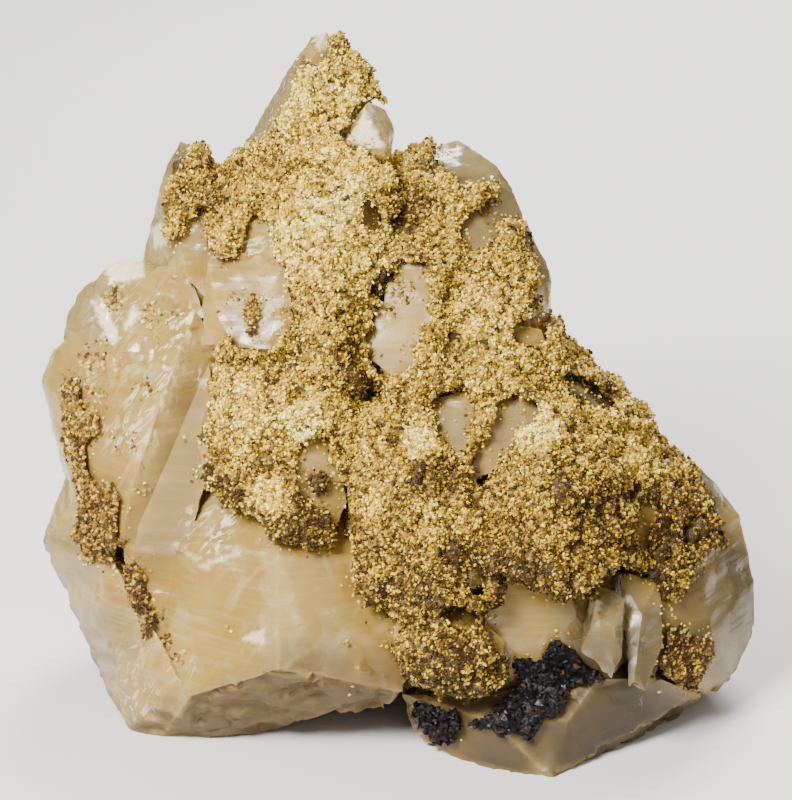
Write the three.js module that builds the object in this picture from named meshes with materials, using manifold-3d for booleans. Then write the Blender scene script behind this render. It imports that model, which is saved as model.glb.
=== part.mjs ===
// A guimaraesite specimen: a broken-off cluster of milky to clear quartz crystals, grown
// together into one mass, with crusts of guimaraesite grown over its front and its upper edges.
// The golden crust is one lumpy sheet with windows where bare quartz shows. Smaller crusts and two
// dark brown ones lie apart from it. The cluster stands on the flats between the hollows of its
// broken base.
//
// The part's frame is in millimetres, +Z up and -Y towards the front, with the origin on the
// surface that the cluster stands on, below the middle of its box.
//
// A place is written [across, up, forward]: how far right of the middle and how far above it a
// point is seen from the front, and how far it stands forward of the middle plane. That front
// view looks down a little, so `placed` turns the places into the part's frame.
import * as THREE from "three";
import { ConvexGeometry } from "three/addons/geometries/ConvexGeometry.js";
import { ImprovedNoise } from "three/addons/math/ImprovedNoise.js";
import { TessellateModifier } from "three/addons/modifiers/TessellateModifier.js";
import { mergeVertices } from "three/addons/utils/BufferGeometryUtils.js";
import Module from "manifold-3d";

const wasm = await Module();
wasm.setup();

// Driving dimensions
const SPECIMEN_WIDTH = 100; // across the widest part, left lobe to right lobe
const VIEW_DISTANCE = 500; // from the eye to the middle plane
const VIEW_TILT = THREE.MathUtils.degToRad(20); // how far the front view looks down
const MIDDLE_HEIGHT = 42.2; // of the view's middle above the standing surface
const CRUST_THICKNESS = 1.9; // of the golden crust between its lumps
const THIN_CRUST_THICKNESS = 1.1; // of the small crusts
const LUMP_HEIGHT = 1.1; // how far a lump stands out of the crust
const LUMP_SPAN = 6.5; // from lump to lump
const FACET = 9; // longest edge of a crust facet
const SEAM_GAP = 0.3; // between a crust and the quartz under it
const CRUST_CLEARANCE = 0.5; // below the lowest crust
const BACK_REACH = -11; // how far behind the middle plane the front crusts wrap
const OUT_OF_SIGHT = 60; // in front of everything, where a crust's cutter starts

const unit = SPECIMEN_WIDTH / 100; // places are written for a specimen 100 mm wide
const noise = new ImprovedNoise();

function placed([across, up, forward]) {
  const nearer = 1 - forward / VIEW_DISTANCE;
  const [x, v] = [across * nearer, up * nearer];
  return new THREE.Vector3(
    x,
    v * Math.sin(VIEW_TILT) - forward * Math.cos(VIEW_TILT),
    v * Math.cos(VIEW_TILT) + forward * Math.sin(VIEW_TILT) + MIDDLE_HEIGHT,
  ).multiplyScalar(unit);
}

// The quartz crystals and broken blocks, each the hull of its corners

const crystals = {
  // The tall crystal at the top, with a narrow bare face down its left side
  peak: [
    [-12.2, 51.4, -8], [-10, 52.1, -8.5], [-11, 50.2, -5.5], [-9.4, 49.6, -9.5],
    [-5.6, 44.8, -7.5], [-3.6, 40.4, -6.5], [-3, 37, -6.5], [-1.2, 15, -4],
    [-13, 47, -3.2], [-19, 36.5, 1.6], [-15, 15, 7.5], [-4, 15, 8],
    [-21.4, 36.6, -9], [-25, 15, -8], [-16, 44, -16.5], [-20, 30, -20],
    [-4, 32, -20], [-22, 8, -22], [-1, 8, -22],
  ],
  // The small clear crystal on the peak's right shoulder, with the bright face
  shoulder_crystal: [
    [-4.2, 42.2, 0.6], [-7.6, 36.9, 1.6], [-3.7, 39.4, 3.4], [-5.8, 36.9, 4.6],
    [-3.6, 34.8, 6], [-1.8, 34.6, 5.4], [-1.3, 37, 4.4], [-0.5, 38.2, -0.5],
    [-1, 34.6, 0.4], [-1.8, 41, -2], [-7, 33, -3], [-1, 32, -3],
  ],
  // The left secondary peak, clear down its outer edge
  left_peak: [
    [-30.5, 36.5, -6.4], [-29.4, 36, -6], [-31.9, 34.2, -7], [-33, 30.6, -8],
    [-34.1, 27.5, -8], [-34.3, 24.8, -8], [-35.3, 21, -8], [-36.2, 19, -8],
    [-28.8, 34.2, -6.8], [-26.8, 31.4, -7], [-30.6, 32, -3], [-31.4, 24, 0.6],
    [-29.6, 17, 3.4], [-26, 24, 0.8], [-35.4, 12, -4], [-24, 12, 3],
    [-34, 24, -15], [-27, 30, -14], [-35, 6, -17], [-24, 8, -18],
  ],
  saddle: [
    [-26.5, 30.6, -8.5], [-22, 32, -8], [-19, 32.6, -6], [-27, 26, -2],
    [-19.5, 30, 0.4], [-26, 20, 3.4], [-20, 20, 4.6], [-26, 10, 4],
    [-26, 26, -18], [-18, 30, -19],
  ],
  // The smooth prism beside the central column, one edge rounded by many narrow faces
  smooth_prism: [
    [-20.4, 27.4, 3.6], [-18.6, 26, 4.8], [-17.2, 21, 7.4], [-15.6, 17.4, 9.2],
    [-14.8, 12.5, 10.6], [-15.4, 8.6, 11.4], [-18, 7.4, 12.4], [-22.6, 7.6, 12],
    [-25.2, 11.6, 10.4], [-26.6, 19.4, 6.4], [-27.6, 8, 8], [-22, 28, -8],
    [-15, 18, -8], [-27, 0, -8], [-14, 0, 4],
  ],
  central_column: [
    [-16.5, 34, 3.4], [-3, 34, 3.4], [-1.8, 25, 4], [-2.2, 14, 6.6],
    [-5.2, 8, 8.6], [-18.4, 29, 2.4], [-15.8, 18, 7], [-13.8, 10, 10],
    [-10, 22, 11], [-9, 9, 15], [-8, 3.6, 14.4], [-13, 4, 12.6],
    [-5, 4.4, 9.6], [-18, 30, -15], [-2, 30, -15], [-15, 0, -8], [-4, 0, -8],
  ],
  // The left lobe: a ridge that runs down and left, with a long shaded face on its right side
  left_lobe_top: [
    [-36, 20, -9], [-38.2, 20.2, -10.5], [-40.8, 19, -10.5], [-42.6, 16, -10],
    [-44.2, 14.4, -11], [-45.4, 14.3, -11.5], [-37.6, 17.2, -5.6], [-41.6, 17, -6.6],
    [-30, 19, 2.4], [-27, 12, 6], [-38, 10, 1.6], [-45.4, 11.6, -9], [-46.9, 9.3, -10],
    [-38, 16, -20], [-30, 16, -18], [-46, 6, -17],
  ],
  left_lobe_ridge: [
    [-48.4, 6.9, -9.5], [-49.9, 3.1, -8.6], [-49.7, 1.2, -8.8], [-48.8, -1.5, -9],
    [-47.9, -6, -8.6], [-46.4, -9.3, -8], [-45, 10, -4], [-40, 13, 1],
    [-28.4, 12.6, 6.6], [-31, 6, 8], [-33.6, -1, 9.2], [-37.4, -12, 9.6], [-39, -19.5, 9.6],
    [-25.4, 8.6, 5], [-27.4, -6, 3.4], [-33, -13.4, 5], [-34.4, -20.6, 6.4],
    [-43.6, -19, 1.4], [-45, -3, 0.6], [-47, 8, -20], [-47.4, -6, -20],
    [-30, 10, -20], [-32, -18, -20], [-44, -20, -16],
  ],
  // The lower left crystal, banded along its outer edge
  corner_crystal: [
    [-46.2, -9.4, -8], [-47.5, -12.6, -8], [-49.3, -18.3, -7], [-49.9, -19.6, -6.6],
    [-48.4, -22.2, -6], [-45.9, -27.3, -4.6], [-43.8, -32, -3.4], [-40.9, -37.9, -1.4],
    [-40.4, -41, -0.6], [-38.6, -44.2, 0.6], [-37.6, -46.2, 2.6], [-45, -13.6, -0.6],
    [-43.6, -22, 2.4], [-41.8, -23.4, 4.6], [-37, -27.6, 8.2], [-33.4, -33.4, 10.4],
    [-31, -38.6, 12.4], [-28.4, -41.8, 12.2], [-39.6, -36, 5.6], [-36.6, -44, 6],
    [-28.4, -47, 4.6], [-33.2, -47, 4.6], [-46, -12, -22], [-47, -22, -20], [-39, -38, -20],
    [-30, -36, -22],
  ],
  // The big milky crystal of the lower left, broken away underneath
  milky_crystal: [
    [-12, -2, 4], [-22, -8, 6.4], [-34.2, -20.6, 6], [-28, -19.6, 12.4], [-16.8, -21.6, 17.6],
    [-6, -21.4, 14.6], [2, -22, 10], [-33.2, -38, 9.4], [-29, -41.2, 13.6], [-16.8, -37.6, 20],
    [-11.7, -34.4, 19.4], [-7.6, -35.7, 18], [0.4, -40.4, 16], [4, -34, 14],
    [-33.2, -47, 4.6], [-28.4, -47, 4.6], [-22, -46.6, 3.6], [-16.8, -45.9, 1.8],
    [-8.6, -43.8, 3], [-2.7, -43.4, 3.4], [-30, -10, -18], [0, -10, -18],
    [-30, -40, -20], [0, -38, -18],
  ],
  // The smooth face in the valley between the left lobe, the milky crystal and the block
  valley_crystal: [
    [-26.4, 6, 5.2], [-26, -4, 6.8], [-27.4, -12, 8.8], [-29.4, -19.2, 9.6],
    [-34, -26, 7.9], [-33.3, -35, 9], [-37.2, -27, 7.4], [-38.6, -21, 7.8],
    [-37.8, -17, 8], [-27, 4, -10], [-27, -19, -10], [-38, -21, -10], [-33.3, -35, -10],
  ],
  // The crusted block above it, which stands a little proud
  left_block: [
    [-25, 9.2, 7.4], [-17, 8.4, 9.6], [-10.6, 6.6, 10.4], [-26.4, 0, 8.6], [-28, -5.4, 9.8],
    [-27.4, -9, 12.6], [-23, -14.2, 15.4], [-16, -19, 17.6], [-9.4, -19.6, 16.4],
    [-8, -5, 13.4], [-7.4, -14, 15.4], [-18, -5, 16], [-14, -12, 19], [-24, 0, -8],
    [-8, 0, -8], [-18, -12, -4],
  ],
  // The window crystal in the middle, with a bright bevel along its top
  window_crystal: [
    [0.3, 20.5, 5.6], [4.3, 19.7, 5.4], [-0.3, 18.7, 8], [4.2, 18.2, 8], [-1.2, 17, 8.6],
    [4.6, 13, 10.4], [4.2, 8, 11.6], [0, 3, 12], [-5.2, 7, 10.6], [-3, 11, 9.4],
    [4, 3, 10], [0, 20, -6], [6, 18, -6], [-6, 2, -4],
  ],
  right_peak: [
    [5.7, 36, -8.4], [8.4, 36.7, -8.8], [9.4, 36.2, -8.8], [11.6, 34.6, -9],
    [13.8, 33.2, -9], [15.3, 31.4, -9], [16.6, 29, -9], [17.4, 25.2, -9],
    [19, 22.5, -8.8], [20.6, 19.4, -8.6], [21.6, 17, -8], [21.5, 12.2, -7],
    [2.4, 33, -2.6], [8, 29.6, -0.6], [13, 28.4, -3], [14, 23, 1.4], [17, 14, 4.4],
    [10, 10, 8.4], [3, 15, 6.6], [0, 25, 1.4], [20, 6, 3], [4, 34, -18], [12, 31, -20],
    [20, 14, -22], [2, 10, -24], [20, 2, -22],
  ],
  peak_notch: [
    [-1.4, 33.4, -6.4], [2.2, 33.4, -6.4], [5.6, 33.4, -7], [-2, 29, 0], [4, 28, 1],
    [-2, 20, 4], [4, 20, 4.4], [-2, 30, -18], [6, 30, -18],
  ],
  right_saddle: [
    [2.4, 13, 8], [12, 12, 8], [20, 10, 5], [22.4, 3, 6.8], [16, 1, 11], [5, 1.6, 12],
    [2.6, 6, 11.6], [4, 10, -8], [21, 6, -8],
  ],
  right_shoulder: [
    [19.4, 10, -7], [22.6, 6.4, -6.6], [24.6, 3.8, -6.6], [28.4, 2, -7],
    [31, 0.4, -7], [33, -1.8, -7], [34.4, -3.6, -6.8], [34.4, -5.6, -6],
    [18, 6, 5.4], [26, 1.6, 5.6], [31, -3, 5.2], [20, -2, 8.6], [33, -8, 4],
    [24, 4, -21], [34, -6, -20], [20, -4, -22],
  ],
  right_slope: [
    [34, -5, -5.6], [36.6, -8.2, -5.6], [39.4, -10.4, -5.8], [31, -7, 7], [38, -14, 5.4],
    [34, -22, 10.4], [30, -14, 9.6], [42, -22, 2], [36, -8, -18], [42, -20, -18],
  ],
  // Broad faces behind the two windows of the right half
  window_slab: [
    [4.6, 0.4, 11.4], [10, 1.8, 11.6], [17, 1.2, 10.6], [21, -1.4, 11.4], [14, -9, 14.4],
    [9, -8, 14.4], [5.4, -3, 12.8], [8, -13, 15.4], [4, 0, -6], [20, -4, -6],
  ],
  // The blunt crusted pyramid that stands furthest forward
  dome: [
    [17, 1, 11.6], [21, -1.2, 12.4], [25, -5, 12.4], [30.6, -9, 9.6], [32.4, -20, 12.4],
    [28.6, -24, 19.6], [22, -25, 23.4], [14, -22.4, 21], [13.6, -10, 15.4], [21, -14, 23.4],
    [26, -12, 18.6], [16, -16, 20.6], [30, -16, 15], [18, 0, -6], [30, -12, -6], [22, -24, -4],
  ],
  centre_block: [
    [-5, -2.6, 11.6], [4, -2, 12.4], [9, -8, 15.4], [-7, -12, 14.4], [-6.4, -24.6, 17],
    [-4, -27.4, 18], [3, -28.6, 20], [10, -27.4, 20], [13, -24, 19], [2, -15, 21],
    [6, -22, 22.6], [12.4, -14, 18.4], [-4, -6, -4], [12, -20, -4],
  ],
  // The flat-faced body that shows between the lower crusts
  lower_body: [
    [2, -22, 13.4], [22.6, -21, 13.4], [25, -30, 14], [20.4, -36, 13.6], [16, -41, 12.6],
    [2, -40, 13.6], [0, -30, 15.4], [12, -28, 15.6], [30, -24, 9], [30, -38, 10],
    [0, -24, -16], [34, -24, -16], [0, -40, -16], [34, -38, -16],
  ],
  lower_block: [
    [0, -29, 16], [10, -29.4, 17], [-0.6, -33, 17], [0.6, -38, 17], [4, -40, 18],
    [10, -40.4, 18], [14, -38, 16.6], [15, -33.6, 16], [6, -33, 20.4], [8, -37, 20.6],
    [2, -30, 4], [14, -36, 4],
  ],
  // The rounded foot of the right half
  foot: [
    [0.6, -41, 8], [12, -41, 13.6], [28, -39, 14.6], [36, -38.6, 9.6], [42.4, -41, 2.6],
    [1.4, -45.4, 5.4], [3.6, -47.2, 7.6], [7.2, -49, 9.6], [9.8, -50.9, 11.8],
    [13.4, -51.4, 14], [17.2, -52.4, 15.4], [21.2, -52.9, 16.4], [22.8, -51.9, 16],
    [25.2, -49.9, 14.2], [27.6, -49.6, 12.4], [31, -48.2, 8], [34.4, -46.6, 4.2],
    [38, -44.8, 0.4], [40.8, -42.6, -2.6], [14, -45, 17], [24, -44.6, 16.6],
    [2, -34, -16], [38, -34, -18],
  ],
  // The clear right lobe and the two clear splinters beside it
  right_lobe: [
    [40.2, -9.2, -6], [42.2, -8.9, -6.4], [44.3, -11, -6.4], [45, -13, -6.2], [48, -16, -6.2],
    [48.8, -20.4, -6], [49.9, -25, -5.6], [50, -30.4, -5], [50.1, -31.2, -4.6],
    [49.4, -33.2, -4], [48.2, -35.4, -3], [47.2, -38.2, -1.2], [44.9, -40.8, -0.4],
    [35.6, -12, 3.6], [36, -22.4, 9.4], [35.6, -33.4, 12.6], [37, -38, 11],
    [42.4, -40.6, 3.6], [42.6, -22.4, 4.4], [44, -33.4, 5.2], [43, -12, -1.6],
    [42, -12, -20], [47, -24, -18], [42, -38, -14],
  ],
  left_splinter: [
    [28.2, -25.6, 15.6], [25.6, -34.8, 17], [30, -38.6, 19], [31.4, -35.6, 18.4],
    [31.8, -27.6, 16.6], [27.6, -30, 18.4], [30.4, -31.4, 19], [26, -26, 6], [32, -36, 6],
  ],
  right_splinter: [
    [31.4, -24.6, 13], [32, -33, 15.4], [32.4, -40, 16.2], [33.2, -39, 16.4],
    [34.6, -40.2, 15.8], [37.2, -34, 12.6], [36.4, -24.6, 11.4], [34.2, -30, 15.2],
    [32, -26, 2], [37, -36, 2],
  ],
  // The broken back and base
  back_body: [
    [-40, -4, -18], [-43, -20, -17], [-37, -40, -17], [-31, 10, -19], [-22, 22, -21],
    [-10, 34, -18], [8, 24, -22], [20, 6, -24], [33, -8, -23], [42, -24, -18],
    [37, -38, -16], [-20, -10, -25], [16, -14, -27], [-12, 12, -25], [-22, -36, -25],
    [22, -36, -26], [-26, -44, -8], [30, -42, -8], [-30, 0, 4], [20, 0, 6],
  ],
};

// The crystals that carry golden crust on their outer faces
const crusted = [
  "peak", "left_peak", "saddle", "smooth_prism", "central_column", "left_block", "right_peak",
  "peak_notch", "right_saddle", "right_shoulder", "right_slope", "window_slab", "dome",
  "centre_block", "lower_block", "right_lobe", "window_crystal",
];

// Outlines of the crusts as seen from the front, [across, up]

const mainCrustEdge = [
  [-13.4, 48], [-11.2, 47.4], [-9.4, 50.2], [-8.6, 52], [-3, 49], [1.4, 44], [0, 41],
  [-3.4, 42.9], [-6, 40.8], [-8, 36.7], [-3.8, 34.3], [-1.2, 34], [0.6, 39], [4.4, 38.5],
  [5.6, 35.9], [5.3, 34.3], [8, 31.2], [14, 30.9], [13.8, 28.9], [9.5, 25.3], [8.7, 22.7],
  [11, 21.1], [13.5, 23.9], [15.4, 25.8], [17.8, 25.3], [19.4, 18.8],
  [19.9, 14.3], [18.8, 11.8], [16.4, 11.5], [16, 9.5], [18, 8.1], [21.1, 9],
  [20.6, 12], [23, 11.8], [26.2, 8.4], [36, 3.6], [35.4, -2.6], [40.6, -8],
  [44.1, -13.5], [46.1, -20.1], [42, -22.2], [41.6, -25], [38, -28.6], [36.5, -26.1],
  [34, -24.4], [32.9, -22.2], [29.8, -23.6], [27, -25.7], [26.3, -29.2], [25.2, -31.3],
  [23.4, -30.6], [22.2, -27.8], [21.6, -26], [19.1, -26.7], [17.1, -24.7], [14.3, -23.9],
  [13.6, -26.4], [13.8, -28.6], [12.4, -30], [12.6, -32.3], [14.4, -34.6], [15.2, -37.6],
  [15.6, -39], [14.3, -40.4], [11.2, -41.6], [8, -41.4], [2.4, -39.6],
  [-0.6, -36.2], [-0.7, -33.4], [0.3, -30.9], [-2.5, -28.2],
  [-5.1, -27.8], [-6.3, -25], [-7.4, -12.4], [-9.3, -8.4], [-9.4, -5.1], [-13.8, -5.3],
  [-13.9, -12], [-12.1, -14.2], [-9.8, -14.9], [-8.7, -17.3], [-9.5, -19.6], [-12.1, -20.7],
  [-14, -19.6], [-15.9, -20.1], [-18.3, -19.3], [-19.1, -16.8], [-21.3, -14.9],
  [-23.3, -14.9], [-27.5, -10.7], [-26.4, -7.9], [-27.9, -5.4], [-26.6, -0.4],
  [-24.8, 9.3], [-23.6, 10.3], [-22.7, 8.2], [-20.1, 7.2], [-16.8, 7.8], [-14.2, 12.2],
  [-16.3, 19.2], [-18, 22], [-18.5, 24.9], [-19.7, 26.7], [-20.8, 24.9], [-22.7, 19.7],
  [-25.7, 19.7], [-27.1, 22], [-26.3, 28], [-27.8, 27], [-30.9, 22.5],
  [-33, 22.5], [-32.5, 28.4], [-31.2, 33.6], [-29.6, 35.4], [-28.4, 36.6],
  [-25.6, 36], [-20.6, 36.2], [-18.6, 37.6], [-17, 40], [-14.5, 45.6],
];

const mainCrustWindows = {
  centre: [
    [0.3, 20.2], [4.2, 19.4], [3.4, 16.4], [4.1, 12.9], [3.7, 9.8], [2, 8], [1.4, 4.4],
    [-1.8, 3.4], [-4.6, 6.2], [-3.6, 10], [-2, 14.3], [-1.1, 17.8],
  ],
  right_upper: [
    [4.5, 0], [8.1, 1.7], [10.1, 1.3], [9.5, -3.9], [9.1, -7.6], [8.1, -7.6], [7.3, -5.3],
    [5.3, -3.7],
  ],
  right_slanting: [
    [14, -0.4], [16.3, 1.1], [18.8, 0.3], [20.9, -1.4], [18.8, -2.5], [16.7, -3.1],
    [16, -5.6], [14.3, -7.9], [12.6, -10.7], [10.4, -12.4], [9.5, -11.2], [11.2, -8.4],
    [12.6, -5.3], [13.5, -2.5],
  ],
  right_outer: [
    [23.2, 3.6], [25.3, 4.2], [28.4, 2.5], [30.7, 0.8], [30.2, -0.6], [29.2, -1.9],
    [27.2, 0], [24.4, 1.7],
  ],
  slit: [[34, -14.6], [35.9, -13.8], [35.4, -20.4], [33.7, -20.1]],
  lower: [
    [5.9, -28.6], [8, -28.2], [10.7, -29.5], [11.2, -30.9], [10.1, -31.7], [7.3, -31.3],
    [6.2, -30.3],
  ],
  lower_oval: [[10.7, -23], [12.5, -22.5], [12.6, -26.1], [11.2, -27.5], [10, -25.8]],
  column: [[-6, 27.5], [-4.2, 28.4], [-2.2, 26.4], [-2.5, 23.6], [-4.8, 24.7]],
};

// The crusts apart from the main one. on names the crystals that carry each.
const smallCrusts = {
  crust_left_margin: {
    on: ["left_lobe_ridge", "corner_crystal"],
    edge: [
      [-47.2, 3.4], [-44.8, 3.6], [-44.1, -1.4], [-42.1, -1.4], [-41.4, -3.9],
      [-43.5, -5.6], [-43.8, -9.5], [-42.5, -11], [-40.4, -11], [-39, -12.6],
      [-39.6, -22.2], [-41.1, -22.9], [-44.4, -22.2], [-44.6, -20.1], [-46.4, -19.4],
      [-44.8, -15.9], [-44.8, -12.4], [-47.2, -6.5],
    ],
  },
  crust_groove: {
    on: ["left_lobe_ridge", "corner_crystal", "milky_crystal", "valley_crystal"],
    edge: [
      [-38.6, -22.4], [-37.3, -22.2], [-35.5, -24.3], [-34.9, -27.1], [-34.2, -31.3],
      [-34.8, -33.4], [-35.9, -33.4], [-36.2, -30.6], [-37.4, -28.4], [-38.4, -26],
    ],
  },
  crust_prism_face: {
    on: ["smooth_prism"],
    edge: [
      [-21.6, 14.3], [-19.9, 14.9], [-19.4, 13.6], [-19.7, 10.1], [-20.8, 9.3], [-21.8, 10.4],
      [-22.2, 12.2],
    ],
  },
  crust_right_low: {
    on: ["right_lobe", "foot"],
    from: -8,
    edge: [
      [37.9, -31.7], [39.6, -30.9], [42, -33.4], [43.2, -32.3], [44.4, -33.4],
      [44.4, -35.5], [43, -38], [42.2, -40.4], [40.4, -40.6], [37.9, -38.6], [36.5, -36.6],
    ],
  },
  crust_dark_centre: {
    on: ["lower_body", "foot"],
    from: 0,
    edge: [
      [15.9, -36.4], [17.1, -35.5], [19.9, -36.2], [20.6, -34.1], [21.6, -33.1], [25.2, -34.5],
      [26.8, -36.5], [29.4, -38.8], [28.4, -39.6], [25.6, -39.6], [24, -41], [23.2, -43.9],
      [20.6, -44.9], [19.9, -46.8], [18.3, -47.7], [16.4, -46.8], [14.3, -47.2],
      [12.9, -46.3], [10.4, -46.1], [10.1, -44.9], [12.2, -44.1], [13.6, -42.5],
      [14.8, -41.4], [16.7, -40],
    ],
  },
  crust_dark_left: {
    on: ["foot"],
    from: 0,
    edge: [
      [2, -41.8], [4.5, -42.1], [6.6, -43], [8.4, -42.7], [8.7, -45.3], [8, -46.8], [8.5, -48.6],
      [7.3, -48.4], [5.9, -48], [3.8, -46.4], [2.6, -45.2], [1.9, -43.9],
    ],
  },
};

// A crust on the back, which the front view doesn't show
const backCrust = {
  on: ["right_peak", "back_body", "right_shoulder"],
  edge: [
    [10, 27], [15, 26], [19, 18], [21, 10], [30, -2], [25, -7], [15, 2], [12, 9], [7, 13],
    [9, 20],
  ],
};

// Round knobs of crust that stand out of the sheet
const knobs = [
  { at: [-16.4, -17.6, 18.2], radius: 3 },
  { at: [-12.2, -18, 18], radius: 2.4 },
  { at: [-22, -12.6, 15.6], radius: 2.4 },
  { at: [-3.6, -26, 19], radius: 2.6 },
  { at: [23.4, -26, 22.6], radius: 2.6 },
  { at: [7.4, -36.6, 20.2], radius: 2.6 },
  { at: [37, -24, 10], radius: 2.6 },
];

// A round knob of crust by itself, in the bay of the left block
const looseKnob = { at: [-11.6, -11.2, 17.4], radius: 1.9 };

// Hollows broken out of the base between the flats that the cluster stands on, as corners in
// the part's own axes before it is centred: [right, back, height]
const baseHollows = [
  [
    [-15, -32, -1], [3, -32, -1], [-11, -32, 2.6], [1, -32, 3], [-13, -8, 4.6], [0, -6, 5],
    [-18, 12, -1], [6, 14, -1], [-21, 0, -1],
  ],
  [
    [8, -7, -1], [31, -9, -1], [35, 9, -1], [10, 14, -1], [14, 0, 3.6], [27, 2, 4.2],
    [22, -4, 3],
  ],
  [
    [-33, -6, -1], [-22, -9, -1], [-20, 8, -1], [-34, 7, -1], [-27, 0, 2.2],
  ],
];

// Six-sided crystals with slanting tips, half sunk in the back of the cluster
const backCrystals = [
  { root: [3, -8, -22], tip: [8, 23, -31], radius: 9.5 },
  { root: [-13, -20, -22], tip: [-21, 13, -32], radius: 10 },
  { root: [20, -28, -20], tip: [31, -2, -30], radius: 8.5 },
  { root: [-30, -30, -16], tip: [-41, -6, -26], radius: 8 },
  { root: [2, -36, -24], tip: [10, -13, -38], radius: 8 },
  { root: [-14, -38, -22], tip: [-30, -26, -34], radius: 7 },
];

// Geometry

function hullOf(places) {
  return new ConvexGeometry(places.map(placed));
}

function hexagonal({ root, tip, radius }) {
  const [from, to] = [placed(root), placed(tip)];
  const axis = to.clone().sub(from).normalize();
  const turn = new THREE.Quaternion().setFromUnitVectors(new THREE.Vector3(0, 0, 1), axis);
  const shoulder = to.clone().addScaledVector(axis, -1.2 * radius * unit);
  const corners = [to];
  for (let i = 0; i < 6; i += 1) {
    const angle = (i * Math.PI) / 3;
    const wide = radius * unit * (i % 2 ? 0.92 : 1.06);
    const out = new THREE.Vector3(Math.cos(angle) * wide, Math.sin(angle) * wide, 0);
    out.applyQuaternion(turn);
    const uneven = (i % 2 ? 0.22 : 0) * radius * unit;
    corners.push(from.clone().add(out));
    corners.push(shoulder.clone().add(out).addScaledVector(axis, uneven));
  }
  return new ConvexGeometry(corners);
}

function bareCopy(geometry) {
  const copy = geometry.clone();
  copy.deleteAttribute("normal");
  copy.deleteAttribute("uv");
  return mergeVertices(copy, 1e-4);
}

function solidOf(geometry) {
  const merged = bareCopy(geometry);
  const triVerts = [];
  const index = merged.index.array;
  for (let i = 0; i < index.length; i += 3) {
    const [a, b, c] = [index[i], index[i + 1], index[i + 2]];
    if (a !== b && b !== c && c !== a) triVerts.push(a, b, c);
  }
  return new wasm.Manifold(new wasm.Mesh({
    numProp: 3,
    vertProperties: new Float32Array(merged.attributes.position.array),
    triVerts: new Uint32Array(triVerts),
  }));
}

// The convex solid, with each of its faces moved out by distance
function grown(geometry, distance) {
  const merged = bareCopy(geometry);
  const position = merged.attributes.position;
  const index = merged.index.array;
  const around = Array.from({ length: position.count }, () => []);
  const corner = [0, 1, 2].map(() => new THREE.Vector3());
  for (let i = 0; i < index.length; i += 3) {
    corner.forEach((c, k) => c.fromBufferAttribute(position, index[i + k]));
    const normal = new THREE.Triangle(...corner).getNormal(new THREE.Vector3());
    if (normal.lengthSq() < 0.5) continue;
    for (let k = 0; k < 3; k += 1) {
      const known = around[index[i + k]];
      if (!known.some((n) => n.dot(normal) > 0.9995)) known.push(normal);
    }
  }
  const corners = around.map((normals, i) => {
    const shift = new THREE.Vector3();
    for (let round = 0; round < 40; round += 1) {
      normals.forEach((n) => shift.addScaledVector(n, (distance - n.dot(shift)) * 0.6));
    }
    shift.clampLength(0, 2.2 * distance);
    return new THREE.Vector3().fromBufferAttribute(position, i).add(shift);
  });
  return new ConvexGeometry(corners);
}

// Rounded bumps with creases between them, 0 to 1
function lumps(at, span) {
  const [x, y, z] = [at.x / span, at.y / span, at.z / span];
  const broad = Math.abs(noise.noise(x + 7.3, y + 1.9, z + 4.1));
  const fine = Math.abs(noise.noise(2.1 * x + 3.7, 2.1 * y + 8.2, 2.1 * z + 5.5));
  return Math.min(1, 1.7 * broad + 0.6 * fine);
}

// The solid with facets no longer than FACET and raised into lumps, never below its own faces
function lumpy(geometry, height) {
  const split = new TessellateModifier(FACET * unit, 14).modify(bareCopy(geometry).toNonIndexed());
  const merged = bareCopy(split);
  merged.computeVertexNormals();
  const { position, normal } = merged.attributes;
  const at = new THREE.Vector3();
  const out = new THREE.Vector3();
  for (let i = 0; i < position.count; i += 1) {
    at.fromBufferAttribute(position, i);
    out.fromBufferAttribute(normal, i);
    at.addScaledVector(out, height * unit * lumps(at, LUMP_SPAN * unit));
    position.setXYZ(i, at.x, at.y, at.z);
  }
  return merged;
}

function knobOf({ at, radius }) {
  const ball = new THREE.IcosahedronGeometry(radius * unit, 1);
  const middle = placed(at);
  ball.translate(middle.x, middle.y, middle.z);
  return solidOf(lumpy(ball, 0.35 * LUMP_HEIGHT));
}

// Everything between two distances that the front view shows inside the outline
function behindOutline(outline, from, to) {
  const shape = new THREE.Shape(outline.map(([u, v]) => new THREE.Vector2(u, v)));
  const prism = new THREE.ExtrudeGeometry(shape, { depth: to - from, bevelEnabled: false });
  const position = prism.attributes.position;
  for (let i = 0; i < position.count; i += 1) {
    const at = [position.getX(i), position.getY(i), from + position.getZ(i)];
    position.setXYZ(i, ...placed(at).toArray());
  }
  return solidOf(prism);
}

function joined(solids) {
  return wasm.Manifold.union(solids);
}

function largestBody(solid) {
  return solid.decompose().reduce((a, b) => (b.volume() > a.volume() ? b : a));
}

const hulls = Object.fromEntries(
  Object.entries(crystals).map(([name, places]) => [name, hullOf(places)]),
);
const backHulls = backCrystals.map(hexagonal);
const hollowHulls = baseHollows.map((corners) => (
  new ConvexGeometry(corners.map((each) => new THREE.Vector3(...each).multiplyScalar(unit)))
));
const quartzSkin = joined(
  [...Object.values(hulls), ...backHulls].map((hull) => solidOf(grown(hull, SEAM_GAP * unit))),
);

function above(height) {
  const half = new THREE.BoxGeometry(400 * unit, 400 * unit, 200 * unit);
  half.translate(0, 0, (100 + height) * unit);
  return solidOf(half);
}

function quartzSolid() {
  const whole = joined([...Object.values(hulls), ...backHulls].map(solidOf));
  const hollowed = whole.subtract(joined(hollowHulls.map(solidOf)));
  return largestBody(hollowed.intersect(above(0)));
}

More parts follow.
